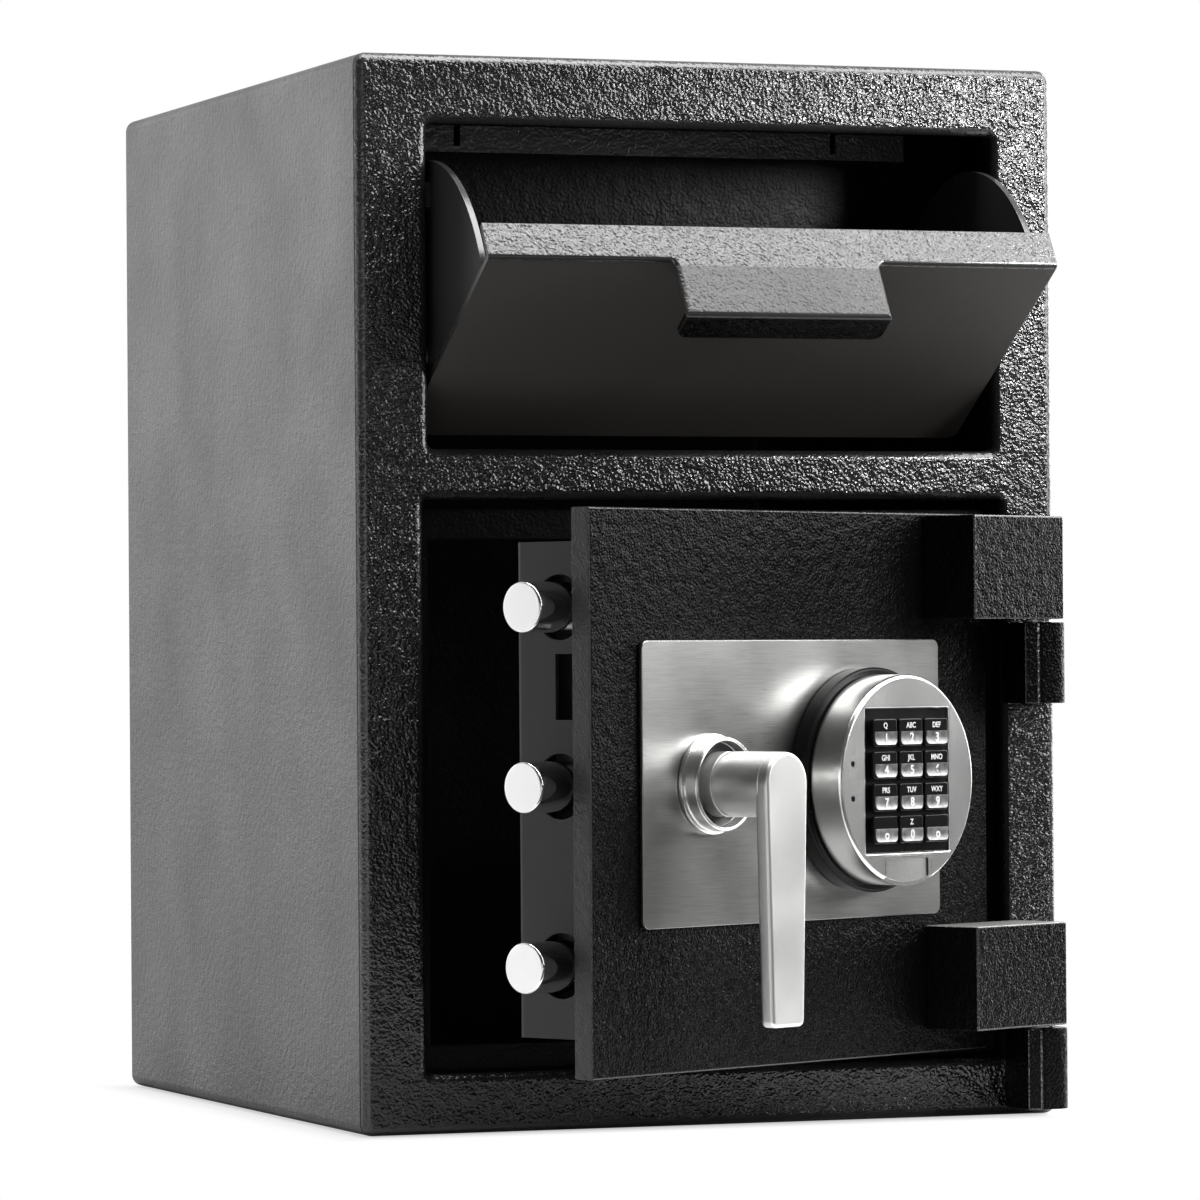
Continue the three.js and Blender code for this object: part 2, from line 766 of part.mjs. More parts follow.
function boltBox() {
  const shape = rectangle(boxLeft, boxBottom, boxRight, boxTop, boxCorner);
  const room = rectangle(boxLeft + boxSheet, boxBottom + boxSheet, boxRight - boxSheet, boxTop - boxSheet);
  const hollow = slab("y", room, boxFront - overrun, boxBack - boxSheet);
  const pan = cut(slab("y", shape, boxFront, boxBack), hollow);
  const ends = [boxLeft - overrun, boxLeft + boxSheet + overrun];
  const holes = boltHeights.map((z) => rod("x", boltHole, ...ends, [boltY, z], roundSides));
  const slotRear = boxFront + boxSlotBack;
  const slotTop = boltHeights[2] - boxSlotDrop;
  const slot = box(ends[0], slotRear - boxSlotWidth, slotTop - boxSlotHeight, ends[1], slotRear, slotTop);
  const plan = rectangle(boxLeft, boxFront - overrun, boxRight, boxBack, boxBend);
  return cut(pan, ...holes, slot).intersect(slab("z", plan, boxBottom - overrun, boxTop + overrun));
}

function boltGuide() {
  const left = boxLeft + guideInset;
  const low = boltHeights[0] - guideMargin;
  const high = boltHeights[2] + guideMargin;
  const upright = box(left, boxFront, low, left + guideSheet, boxBack - boxSheet - overrun, high);
  const foot = box(left - guideSheet * 2, boxFront, low, left, boxFront + guideSheet, high);
  const holes = boltHeights.map((z) =>
    rod("x", boltRadius + boltPlay, left - guideSheet * 2 - overrun, left + guideSheet + overrun, [boltY, z]),
  );
  return cut(join(upright, foot), ...holes);
}

function lockingBolt(z) {
  const end = boltTip + boltLength;
  const shoulder = boltTip + boltChamfer;
  const body = rod("x", boltRadius, shoulder, end, [boltY, z]);
  const nose = rod("x", boltRadius - boltChamfer, boltTip, shoulder, [boltY, z], smallSides, boltRadius);
  const opening = rectangle(barLeft - seam, z - boltRadius * 2, end + overrun, z + boltRadius * 2);
  const half = barSheet / 2 + seam;
  return cut(join(body, nose), slab("y", opening, boltY - half, boltY + half));
}

function boltBar() {
  const half = barSheet / 2;
  const low = boltHeights[0] - barPast;
  const high = boltHeights[2] + barPast;
  const strip = rectangle(barLeft, low, barLeft + barWidth, high, seam * 4);
  const middle = (camPinPlace[1] + lockHeight + camThrow) / 2;
  const tongue = rectangle(
    barLeft + barWidth / 2,
    middle - tongueHeight / 2,
    camPinPlace[0] + tonguePastPin,
    middle + tongueHeight / 2,
  );
  const play = camPin + camSlotPlay;
  const slot = rectangle(
    camPinPlace[0] - play,
    camPinPlace[1] - play,
    camPinPlace[0] + play,
    lockHeight + camThrow + play,
  );
  const depth = [boltY - half, boltY + half];
  const through = [boltY - half - overrun, boltY + half + overrun];
  return cut(join(slab("y", strip, ...depth), slab("y", tongue, ...depth)), slab("y", slot, ...through));
}

function lockCase() {
  const half = lockCaseWidth / 2;
  const low = lockHeight - lockCaseHeight / 2;
  return slab(
    "y",
    rectangle(keypadX - half, low, keypadX + half, low + lockCaseHeight, boxCorner),
    boxFront,
    boxFront + lockCaseDepth,
  );
}

// Lever: a hub and arm in front, a spindle through the door and a cam that throws the bar

const armFront = plateFace - leverStandOff;
const armBack = armFront + armThickness;
const hubFoot = plateFace - rosetteFloor - seam;
const camFront = boxFront + seam;

function escutcheon() {
  const plateTop = plateBottom + plateHeight;
  const shape = rectangle(plateLeft, plateBottom, plateLeft + plateWidth, plateTop, plateCorner);
  const hole = rod("y", spindleRadius + spindlePlay, plateFace - overrun, doorFace + overrun, lever);
  return cut(slab("y", shape, plateFace, plateFace + plateThickness), hole);
}

function rosette() {
  const hole = spindleRadius + spindlePlay;
  const upper = rosetteRadius - rosetteLip;
  return turned(
    [
      [hole, seam],
      [rosetteRadius, seam],
      [rosetteRadius, rosetteStep],
      [upper, rosetteStep + rosetteLip],
      [upper, rosetteHeight - rosetteLip],
      [upper - rosetteLip, rosetteHeight],
      [upper - rosetteRim, rosetteHeight],
      [upper - rosetteRim, rosetteFloor],
      [hole, rosetteFloor],
      [hole, seam],
    ],
    plateFace,
    lever,
  );
}

function leverHandle() {
  const [x, z] = lever;
  const tip = z - armLength;
  const half = armTipWidth / 2;
  const shape = new THREE.Shape();
  shape.moveTo(x - half + armTipCorner, tip);
  shape.lineTo(x + half - armTipCorner, tip);
  shape.absarc(x + half - armTipCorner, tip + armTipCorner, armTipCorner, -Math.PI / 2, 0);
  shape.absarc(x, z, hubRadius, 0, Math.PI);
  shape.absarc(x - half + armTipCorner, tip + armTipCorner, armTipCorner, Math.PI, Math.PI * 1.5);
  const arm = slab("y", shape, armFront + armEdge, armBack - armEdge, {
    bevelEnabled: true,
    bevelThickness: armEdge,
    bevelSize: armEdge,
    bevelOffset: -armEdge,
    bevelSegments: 2,
    curveSegments: roundSides / 4,
  });
  const hub = rod("y", hubRadius, armFront + armThickness / 2, hubFoot, lever, roundSides);
  const socket = rod("y", spindleRadius + seam, hubFoot - spindleInHub, hubFoot + overrun, lever);
  return cut(join(arm, hub), socket);
}

function leverSpindle() {
  return rod("y", spindleRadius, hubFoot - spindleInHub + seam, camFront + camThickness, lever);
}

function driveCam() {
  const disc = rod("y", camRadius, camFront, camFront + camThickness, lever);
  const middle = [(lever[0] + camPinPlace[0]) / 2, (lever[1] + camPinPlace[1]) / 2];
  const crank = rod("y", camPin * 2, camFront, camFront + camThickness, camPinPlace);
  const web = rod("y", camRadius / 2, camFront, camFront + camThickness, middle);
  const pin = rod("y", camPin, camFront, camFront + camThickness + camPinLength, camPinPlace);
  const bore = rod("y", spindleRadius + seam, camFront - overrun, camFront + camThickness + overrun, lever);
  return cut(join(disc, crank, web, pin), bore);
}

// Keypad: a dark base ring, the bright housing with a window, the key mat and its keys

const housingBack = keypadBaseHeight + seam * 2;
const padFace = plateFace - keypadHeight;
const windowFloor = padFace + keypadWindowDepth;
const windowTop = lockHeight + keypadWindowRise;

function keypadBase() {
  return turned(
    [
      [0, seam],
      [keypadBaseRadius, seam],
      [keypadBaseRadius, keypadBaseHeight - keypadEdge],
      [keypadBaseRadius - keypadEdge, keypadBaseHeight],
      [0, keypadBaseHeight],
    ],
    plateFace,
    keypad,
  );
}

function keypadHousing() {
  const round = keypadEdge * (1 - Math.SQRT1_2);
  const drum = turned(
    [
      [0, housingBack],
      [keypadRadius, housingBack],
      [keypadRadius, keypadHeight - keypadEdge],
      [keypadRadius - round, keypadHeight - round],
      [keypadRadius - keypadEdge, keypadHeight],
      [0, keypadHeight],
    ],
    plateFace,
    keypad,
  );
  const half = keypadWindowWidth / 2;
  const window = rectangle(
    keypadX - half,
    windowTop - keypadWindowHeight,
    keypadX + half,
    windowTop,
    keypadWindowCorner,
  );
  const coverHalf = coverWidth / 2 + coverPlay;
  const coverTop = lockHeight - coverBelow + coverPlay;
  const ledge = padFace + coverThickness + coverPlay;
  const lampHoles = lampPlaces().map((place) => {
    return rod("y", lampRadius + seam, padFace - overrun, padFace + lampDepth + seam, place, stemSides);
  });
  return cut(
    drum,
    slab("y", window, padFace - overrun, windowFloor),
    box(keypadX - coverHalf, padFace - overrun, 0, keypadX + coverHalf, ledge, coverTop),
    ...lampHoles,
  );
}

function keyMat() {
  const half = keypadWindowWidth / 2 - seam;
  const shape = rectangle(
    keypadX - half,
    windowTop - keypadWindowHeight + seam,
    keypadX + half,
    windowTop - seam,
    keypadWindowCorner,
  );
  const floor = windowFloor - seam;
  const holes = keyPlaces().map((place) => {
    const depth = [floor - keyMatThickness - overrun, floor + overrun];
    return rod("y", keyStem + seam, ...depth, place, stemSides);
  });
  return cut(slab("y", shape, floor - keyMatThickness, floor), ...holes);
}

const matFace = windowFloor - seam - keyMatThickness;
const keyColumns = [-1, 0, 1];
const keyRows = [0, 1, 2, 3];

function keyPlaces() {
  return keyRows.flatMap((row) =>
    keyColumns.map((column) => [
      keypadX + column * keyPitchX,
      windowTop - keyRowDrop - row * keyPitchZ,
    ]),
  );
}

// A key has a raised numeral pad across its lower half and a stem that slides in the mat
function key([x, z]) {
  const foot = matFace - keyTravel - seam;
  const tail = windowFloor - keyTravel - seam;
  const stem = rod("y", keyStem, foot - keyCap / 2, tail, [x, z], stemSides);
  const [halfX, halfZ] = [keyWidth / 2, keyHeight / 2];
  const cap = rectangle(x - halfX, z - halfZ, x + halfX, z + halfZ, keyCorner);
  const padX = numeralWidth / 2;
  const padZ = z - numeralDrop;
  const pad = rectangle(x - padX, padZ - numeralHeight / 2, x + padX, padZ + numeralHeight / 2, keyCorner);
  const face = foot - keyCap;
  const bevel = { bevelEnabled: true, bevelThickness: keyEdge, bevelSize: keyEdge, bevelOffset: -keyEdge };
  const soft = { ...bevel, bevelSegments: 1, curveSegments: 2 };
  return join(
    slab("y", cap, face + keyEdge, foot - keyEdge, soft),
    slab("y", pad, face - numeralRise + keyEdge, face + keyEdge * 2, soft),
    stem,
  );
}

function batteryCover() {
  const half = coverWidth / 2;
  const top = lockHeight - coverBelow;
  const shape = rectangle(keypadX - half, top - coverHeight, keypadX + half, top, coverThickness);
  const depth = [padFace, padFace + coverThickness];
  const face = rod("y", keypadRadius - keypadEdge, ...depth, keypad, roundSides);
  return slab("y", shape, ...depth).intersect(face);
}

function lampPlaces() {
  const x = keypadX - lampFromCentre;
  return [0, 1].map((step) => [x, lockHeight + lampSpacing / 2 - step * lampSpacing]);
}

// The assembly

const safe = new THREE.Group();
safe.add(
  mesh("front_frame", "shell", frontFrame()),
  mesh("body_wrap", "shell", bodyWrap()),
  mesh("back_panel", "shell", backPanel()),
  mesh("door_stop_frame", "inner", doorStopFrame()),
  mesh("fishing_baffle", "inner", fishingBaffle()),
  mesh("baffle_channel", "inner", baffleChannel()),
  mesh("drawer_guard", "inner", drawerGuard()),
);
const hands = [
  ["left", -1],
  ["right", 1],
];
for (const [hand, side] of hands) {
  safe.add(
    mesh("pivot_bracket_" + hand, "inner", pivotBracket(side)),
    mesh("pivot_pin_" + hand, "zinc", pivotPin(side)),
    mesh("floor_bumper_" + hand, "rubber", floorBumper(side)),
  );
}
const hinges = [
  ["upper", doorHigh - upperBlockMargin - blockHeight],
  ["lower", doorLow + lowerBlockMargin],
];
for (const [level, bottom] of hinges) {
  safe.add(
    mesh("hinge_knuckle_" + level, "shell", hingeKnuckle(bottom)),
    mesh("hinge_pin_" + level, "zinc", hingePin(bottom)),
    mesh("hinge_washer_" + level, "zinc", hingeWasher(bottom)),
  );
}

// A group that turns about a point, whose pieces are drawn in the safe's own frame
function swing(parent, point, turn) {
  const pivoted = new THREE.Group();
  pivoted.position.copy(point);
  turn(pivoted.rotation);
  const drawn = new THREE.Group();
  drawn.position.copy(point).negate();
  pivoted.add(drawn);
  parent.add(pivoted);
  return drawn;
}

const drawer = swing(safe, new THREE.Vector3(0, ...pivot), (rotation) => {
  rotation.x = radians(drawerOpenDegrees);
});
drawer.add(
  mesh("drawer_panel", "drawer", drawerPanel()),
  mesh("drawer_floor", "inner", drawerFloor()),
  mesh("drawer_cheek_left", "drawer", cheek(-1)),
  mesh("drawer_cheek_right", "drawer", cheek(1)),
);

const door = swing(safe, new THREE.Vector3(...hinge, 0), (rotation) => {
  rotation.z = radians(doorOpenDegrees);
});
door.add(
  mesh("door_plate", "shell", doorPlate()),
  mesh("bolt_box", "inner", boltBox()),
  mesh("bolt_guide", "zinc", boltGuide()),
  mesh("lock_case", "zinc", lockCase()),
  mesh("escutcheon", "brushed", escutcheon()),
  mesh("lever_rosette", "satin", rosette()),
  mesh("keypad_base", "keypad", keypadBase()),
  mesh("keypad_housing", "satin", keypadHousing()),
  mesh("key_mat", "keypad", keyMat()),
  mesh("battery_cover", "satin", batteryCover()),
  mesh("lever_handle", "satin", leverHandle()),
  mesh("lever_spindle", "zinc", leverSpindle()),
  mesh("drive_cam", "zinc", driveCam()),
  mesh("bolt_bar", "zinc", boltBar()),
);
for (const [level, bottom] of hinges) door.add(mesh("hinge_block_" + level, "shell", hingeBlock(bottom)));
["lower", "middle", "upper"].forEach((level, index) => {
  door.add(mesh("bolt_" + level, "chrome", lockingBolt(boltHeights[index])));
});
lampPlaces().forEach((place, index) => {
  const lamp = rod("y", lampRadius, padFace, padFace + lampDepth, place, stemSides);
  door.add(mesh("lamp_" + ["upper", "lower"][index], "lamp", lamp));
});
const keyNames = ["1", "2", "3", "4", "5", "6", "7", "8", "9", "left", "0", "right"];
keyPlaces().forEach((place, index) => {
  door.add(mesh("key_" + keyNames[index], "keypad", key(place)));
});

export default safe;
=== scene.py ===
import json
import math

import bmesh
import bpy
from mathutils import Matrix, Vector


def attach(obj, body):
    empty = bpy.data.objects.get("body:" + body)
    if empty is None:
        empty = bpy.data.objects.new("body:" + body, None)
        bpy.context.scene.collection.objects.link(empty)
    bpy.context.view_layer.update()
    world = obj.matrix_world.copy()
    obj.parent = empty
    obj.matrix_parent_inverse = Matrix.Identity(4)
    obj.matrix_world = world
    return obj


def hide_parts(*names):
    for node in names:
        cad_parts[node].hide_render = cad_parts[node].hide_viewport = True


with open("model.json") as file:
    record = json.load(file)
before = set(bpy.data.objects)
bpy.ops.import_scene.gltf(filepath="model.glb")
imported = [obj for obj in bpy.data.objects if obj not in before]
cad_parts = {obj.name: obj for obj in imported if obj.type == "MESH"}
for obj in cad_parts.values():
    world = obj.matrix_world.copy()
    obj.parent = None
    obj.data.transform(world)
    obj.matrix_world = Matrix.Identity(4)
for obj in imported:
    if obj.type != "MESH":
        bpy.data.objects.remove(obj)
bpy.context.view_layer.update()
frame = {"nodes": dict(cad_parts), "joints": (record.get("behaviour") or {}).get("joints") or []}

# Lengths are in metres, in the safe's own frame: Z is up and the front faces -Y.
MM = 0.001
NODES = frame["nodes"]

# Camera of the photograph, as fitted to the corners of the body, the door and the drawer
CAMERA_TURN = math.radians(-20.386)
CAMERA_RISE = math.radians(-0.5744)
CAMERA_ROLL = math.radians(-0.4205)
CAMERA_DISTANCE = 3.1031
CAMERA_AIM = Vector((0, -0.0981, 0.254))
IMAGE_SIDE = 1200
FOCAL_PIXELS = 6303.8
OPTICAL_CENTRE = (641.39, 595.09)
SENSOR = 36

# How bright the studio looks in reflections, before the safe and behind it
ROOM_DEPTH = (0.0, 0.7)
ROOM_LIGHT = 0.05
BACKDROP_LIGHT = 1.0
WORLD_FILL = 0.25

# Floor and dark cards, and where the floor's shadow shows
SHADOW_REACH = (-0.01, 0.025)
SHADOW_GLOW = 0.55
FLOOR_SIZE = 60
FLOOR_DROP = 0.0004
FLOOR_GREY = 0.9
CARD_GREY = 0.03
STUDIO_ROUGHNESS = 0.9

# Sheet, edges and the openings, with a level that parts the two
SHEET = 3 * MM
BODY_WALL = 4 * MM
BODY_BEND = 6 * MM
FRONT_EDGE = 5 * MM
OPENING_CORNER = 3 * MM
ROLL_STEPS = 6
RAIL_LEVEL = 310 * MM
ANCHOR_HOLE = 6.5 * MM
ANCHOR_PLACE = (115 * MM, 125 * MM)
SEAM = 0.3 * MM

# How far apart points may be and still count as one, and how flat a crease may be and still go
SAME_PLACE = 0.02 * MM
SAME_POINT = 0.002 * MM
SAME_SPUN = 0.01 * MM
FLAT = math.radians(0.4)

# Fine roundings left on each piece by its last bevel
SHELL_EDGE = 0.5 * MM
PANEL_EDGE = 0.35 * MM
CHEEK_EDGE = 0.3 * MM
SLAB_EDGE = 0.4 * MM
BLOCK_EDGE = 0.9 * MM
KNUCKLE_EDGE = 0.6 * MM
BOX_EDGE = 0.3 * MM
BOLT_EDGE = 0.3 * MM
PLATE_EDGE = 0.45 * MM
KEYPAD_EDGE = 0.25 * MM
CAP_EDGE = 0.5 * MM
PAD_EDGE = 0.15 * MM

# Sides of round forms, from the finest down
CHEEK_SIDES = 240
DISC_SIDES = 160
DRUM_SIDES = 96
BOLT_HOLE_SIDES = 64
BORE_SIDES = 48
HOLE_SIDES = 40
SMALL_SIDES = 24

# How far the normal of a face leans along an axis
BARELY = 0.01
GENTLY = 0.1
SLIGHTLY = 0.2
PARTLY = 0.3
HALF = 0.5
LARGELY = 0.6
MOSTLY = 0.9
SQUARELY = 0.98
ALONG = 0.999

# Drawer
SHEET_BEND = 2.6 * MM
PANEL_CORNER = 5 * MM
TAB_WIDTH = 102.5 * MM
TAB_REACH = 30.5 * MM
TAB_DROP = 19 * MM
TAB_CORNER = 5 * MM
TAB_FILLET = 3 * MM
CHEEK_RADIUS = 93 * MM
CHEEK_INSET = 1.5 * MM
CHEEK_CORNER = 1.5 * MM
FLOOR_SLOPE = math.radians(30)
FLOOR_BELOW_PIVOT = 10.7 * MM
PIN_HOLE = 5.3 * MM
LUG_HEIGHT = 12 * MM
LUG_DEPTH = 6 * MM
LUG_RISE = 70 * MM
LUG_CORNER = 1 * MM

# Door, hinges and bolt work
DOOR_EDGE = 1.2 * MM
SPINDLE_HOLE = 5.4 * MM
PIN_BORE = 5.05 * MM
BLOCK_CORNER = 2 * MM
KNUCKLE_ROUND = 8 * MM
KNUCKLE_GROOVE = 8 * MM
GROOVE_DEPTH = 0.9 * MM
BOX_SHEET = 2 * MM
BOX_BEND = 4 * MM
BOX_CORNER = 2.5 * MM
BOX_SLOT_BACK = 18.8 * MM
BOX_SLOT_WIDTH = 13.4 * MM
BOX_SLOT_LOW = 195.2 * MM
BOX_SLOT_HIGH = 225.1 * MM
BOLT_HOLE = 15 * MM
BOLT_CHAMFER = 1 * MM

# Escutcheon, lever and keypad
PLATE_CORNER = 4 * MM
DISH_SLACK = 0.1 * MM
ROSETTE_STEP = 2.5 * MM
ROSETTE_FLOOR = 4 * MM
ARM_THICKNESS = 7.7 * MM
ARM_TIP = 22.4 * MM
ARM_TIP_CORNER = 3 * MM
ARM_EDGE = 1.8 * MM
HUB_RING = 8 * MM
BASE_FOOT = 0.4 * MM
BASE_EDGE = 1.5 * MM
BASE_FACE = 5 * MM
HOUSING_FOOT = 0.5 * MM
HOUSING_EDGE = 1.8 * MM
HOUSING_FACE = 8 * MM
WINDOW_CORNER = 0.8 * MM
WINDOW_ROLL = 0.8 * MM
COVER_PLAY = 0.2 * MM
COVER_RIM = 1.2 * MM
COVER_DIP = 0.9 * MM
DIP_CORNER = 1.5 * MM
KEY_CORNER = 1.4 * MM
KEY_FLOAT = 1.3 * MM
PAD_RISE = 0.7 * MM
PAD_SIDE = 0.5 * MM
PAD_FOOT = 0.9 * MM
PAD_TOP = 0.6 * MM
PAD_ROUND = 2.4 * MM
PAD_CORNER = 0.5 * MM
PAD_DISH = 14 * MM
PAD_HOLLOW = 0.35 * MM
DIGIT_HEIGHT = 6 * MM
DIGIT_WEIGHT = 0.2 * MM
DIGIT_LIFT = 0.2 * MM
LETTER_HEIGHT = 3.6 * MM
LETTER_WEIGHT = 0.08 * MM
LETTER_LIFT = 0.05 * MM
LETTER_DROP = 0.2 * MM

# Turned outlines by level, from the foot inward: insets from the rim and rises, in millimetres
ROSETTE_TURNS = {
    "foot": ((0.3, 0), (0, 0.3)),
    "step": ((0, -0.3), (0.3, 0), (1.3, 0.2), (1.5, 0.6)),
    "crown": ((1.5, -1.0), (1.8, -0.4), (2.3, -0.1), (2.8, 0), (3.3, -0.3), (3.5, -0.9)),
    "dish": ((3.5, 0.5), (4.0, 0)),
}
HUB_TURNS = {
    "foot": ((0.5, 0), (0, 0.5)),
    "ring": ((0, 0), (0.35, 0.15), (0.35, 0.75), (0, 0.9)),
    "top": ((0, 0),),
}


# Joints: where the drawer and the door stand in the photograph, as turns from shut

def joint(name):
    return next(j for j in frame["joints"] if j["name"] == name)


def opened(name):
    """The turn that brings a shut piece to where it rests."""
    hinge = joint(name)
    pivot = Matrix.Translation(Vector(hinge["pos_m"]))
    angle = math.radians(-hinge["range_deg"][0])
    return pivot @ Matrix.Rotation(angle, 4, Vector(hinge["axis"])) @ pivot.inverted()


DOOR = opened("door_hinge")
DRAWER = opened("drawer_pivot")
STILL = Matrix.Identity(4)
DRAWER_PIVOT = Vector(joint("drawer_pivot")["pos_m"])
LEVER_AXIS = DOOR.inverted() @ Vector(joint("lever_turn")["pos_m"])
SPINDLE = (LEVER_AXIS.x, LEVER_AXIS.z)


def span(part, stance=STILL):
    """Lowest and highest corner of a CAD node, with the door or the drawer shut."""
    back = stance.inverted()
    corners = [back @ v.co for v in NODES[part].data.vertices]
    low = Vector(min(c[i] for c in corners) for i in range(3))
    high = Vector(max(c[i] for c in corners) for i in range(3))
    return low, high


def centre_of(part, axes, stance=STILL):
    """Middle of a CAD node along the given axes."""
    low, high = span(part, stance)
    return [(getattr(low, axis) + getattr(high, axis)) / 2 for axis in axes]


PLATE = span("escutcheon", DOOR)[0].y
KEYPAD_CENTRE = centre_of("keypad_housing", "xz", DOOR)


# Hand tools: each works on one object at a time

def deselect():
    if bpy.context.object and bpy.context.object.mode != "OBJECT":
        bpy.ops.object.mode_set(mode="OBJECT")
    bpy.ops.object.select_all(action="DESELECT")


def activate(piece):
    deselect()
    piece.select_set(True)
    bpy.context.view_layer.objects.active = piece


def apply_place(piece):
    activate(piece)
    bpy.ops.object.transform_apply(location=True, rotation=True, scale=True)


def block(name, low, high):
    """A cube brought to the given corners."""
    deselect()
    low, high = Vector(low), Vector(high)
    bpy.ops.mesh.primitive_cube_add(size=1, location=(low + high) / 2)
    piece = bpy.context.object
    piece.name = name
    piece.scale = high - low
    apply_place(piece)
    return piece


TURNS = {"x": (0, math.pi / 2, 0), "y": (math.pi / 2, 0, 0), "z": (0, 0, 0)}


def drum(name, axis, radius, start, end, centre, sides=DRUM_SIDES):
    """A cylinder along an axis, from start to end, centred at the other two coordinates."""
    deselect()
    place = list(centre)
    place.insert("xyz".index(axis), (start + end) / 2)
    bpy.ops.mesh.primitive_cylinder_add(
        vertices=sides, radius=radius, depth=abs(end - start), location=place, rotation=TURNS[axis]
    )
    piece = bpy.context.object
    piece.name = name
    apply_place(piece)
    return piece


def pick(piece, kind, test):
    """Selects the vertices, edges or faces that pass the test, and stays in edit mode."""
    activate(piece)
    bpy.ops.object.mode_set(mode="EDIT")
    bpy.ops.mesh.select_mode(type=kind)
    bpy.ops.mesh.select_all(action="DESELECT")
    shape = bmesh.from_edit_mesh(piece.data)
    parts = {"VERT": shape.verts, "EDGE": shape.edges, "FACE": shape.faces}[kind]
    for part in [p for p in parts if test(p)]:
        part.select_set(True)
    bmesh.update_edit_mesh(piece.data)


def done():
    bpy.ops.object.mode_set(mode="OBJECT")


def near(a, b, slack=SAME_PLACE):
    return abs(a - b) < slack


def middle(edge):
    return (edge.verts[0].co + edge.verts[1].co) / 2


def runs(edge, axis, **levels):
    """Whether an edge runs along an axis, at the given levels of the others."""
    way = edge.verts[1].co - edge.verts[0].co
    here = middle(edge)
    at_levels = all(near(getattr(here, other), level) for other, level in levels.items())
    return at_levels and abs(getattr(way, axis)) > ALONG * way.length


def creased(edge, degrees=25):
    return len(edge.link_faces) == 2 and edge.calc_face_angle(0) > math.radians(degrees)


def in_plane(edge, axis, level):
    """Whether both ends of an edge lie at a level of an axis."""
    return all(near(getattr(v.co, axis), level) for v in edge.verts)


def bevel(piece, test, radius, segments=4):
    """Rounds the edges that pass the test."""
    pick(piece, "EDGE", lambda e: creased(e) and test(e))
    bpy.ops.mesh.bevel(
        offset=radius, offset_type="OFFSET", segments=segments, profile=0.5, affect="EDGES",
        clamp_overlap=True,
    )
    done()


def merge_doubles(piece, reach):
    pick(piece, "VERT", lambda v: True)
    bpy.ops.mesh.remove_doubles(threshold=reach)
    done()


def clean_up(piece):
    """Merges the near doubles that cuts leave and dissolves the lines on flat faces."""
    merge_doubles(piece, SAME_PLACE)
    pick(piece, "FACE", lambda f: True)
    bpy.ops.mesh.dissolve_limited(angle_limit=FLAT, use_dissolve_boundaries=False)
    done()


def soften(piece, radius, segments=2, degrees=30):
    """Rounds every sharp edge a little with a bevel modifier, and weights the normals."""
    clean_up(piece)
    activate(piece)
    edge = piece.modifiers.new("edge", "BEVEL")
    edge.width = radius
    edge.segments = segments
    edge.limit_method = "ANGLE"
    edge.angle_limit = math.radians(degrees)
    edge.use_clamp_overlap = True
    bpy.ops.object.modifier_apply(modifier=edge.name)
    merge_doubles(piece, SAME_POINT)
    smooth(piece)


def smooth(piece, degrees=40):
    activate(piece)
    bpy.ops.object.shade_smooth_by_angle(angle=math.radians(degrees))
    weights = piece.modifiers.new("weights", "WEIGHTED_NORMAL")
    weights.keep_sharp = True
    bpy.ops.object.modifier_apply(modifier=weights.name)


def combine(piece, other, operation):
    """Joins or cuts with a boolean, and removes the other object."""
    activate(piece)
    step = piece.modifiers.new("step", "BOOLEAN")
    step.operation = operation
    step.object = other
    step.solver = "EXACT"
    bpy.ops.object.modifier_apply(modifier=step.name)
    bpy.data.objects.remove(other)


def cut(piece, *others):
    for other in others:
        combine(piece, other, "DIFFERENCE")


def weld(piece, *others):
    for other in others:
        combine(piece, other, "UNION")


def bore(piece, axis, radius, start, end, centre, sides=BORE_SIDES):
    """Cuts a round hole along an axis."""
    cut(piece, drum("bore", axis, radius, start, end, centre, sides))


def slice_off(piece, point, normal):
    """Cuts a piece at a plane, drops what the normal points at, and closes the cut."""
    pick(piece, "FACE", lambda f: True)
    bpy.ops.mesh.bisect(plane_co=point, plane_no=normal, use_fill=True, clear_outer=True)
    done()


def turn_profile(name, profile, face, centre, sides=DRUM_SIDES):
    """Spins a profile of (radius, height above the face) about an axis that points to the front."""
    deselect()
    first = Vector((centre[0] + profile[0][0], face - profile[0][1], centre[1]))
    bpy.ops.mesh.primitive_plane_add(size=MM, location=first)
    piece = bpy.context.object
    piece.name = name
    apply_place(piece)
    bpy.ops.object.mode_set(mode="EDIT")
    bpy.ops.mesh.select_mode(type="VERT")
    bpy.ops.mesh.select_all(action="SELECT")
    bpy.ops.mesh.merge(type="CENTER")
    for (radius, height), (next_radius, next_height) in zip(profile, profile[1:]):
        step = (next_radius - radius, height - next_height, 0)
        bpy.ops.mesh.extrude_region_move(TRANSFORM_OT_translate={"value": step})
    bpy.ops.mesh.select_all(action="SELECT")
    axis_point = (centre[0], face, centre[1])
    bpy.ops.mesh.spin(steps=sides, angle=2 * math.pi, center=axis_point, axis=(0, 1, 0))
    bpy.ops.mesh.select_all(action="SELECT")
    bpy.ops.mesh.remove_doubles(threshold=SAME_SPUN)
    bpy.ops.mesh.normals_make_consistent(inside=False)
    done()
    return piece


def quarter_turns(steps):
    return [math.radians(90 * step / steps) for step in range(steps + 1)]


def quarter_round(outer, rise, radius, steps):
    """Profile points over a rounded edge, from the side wall to the flat on top."""
    turns = quarter_turns(steps)
    return [(outer - radius * (1 - math.cos(t)), rise - radius * (1 - math.sin(t))) for t in turns]


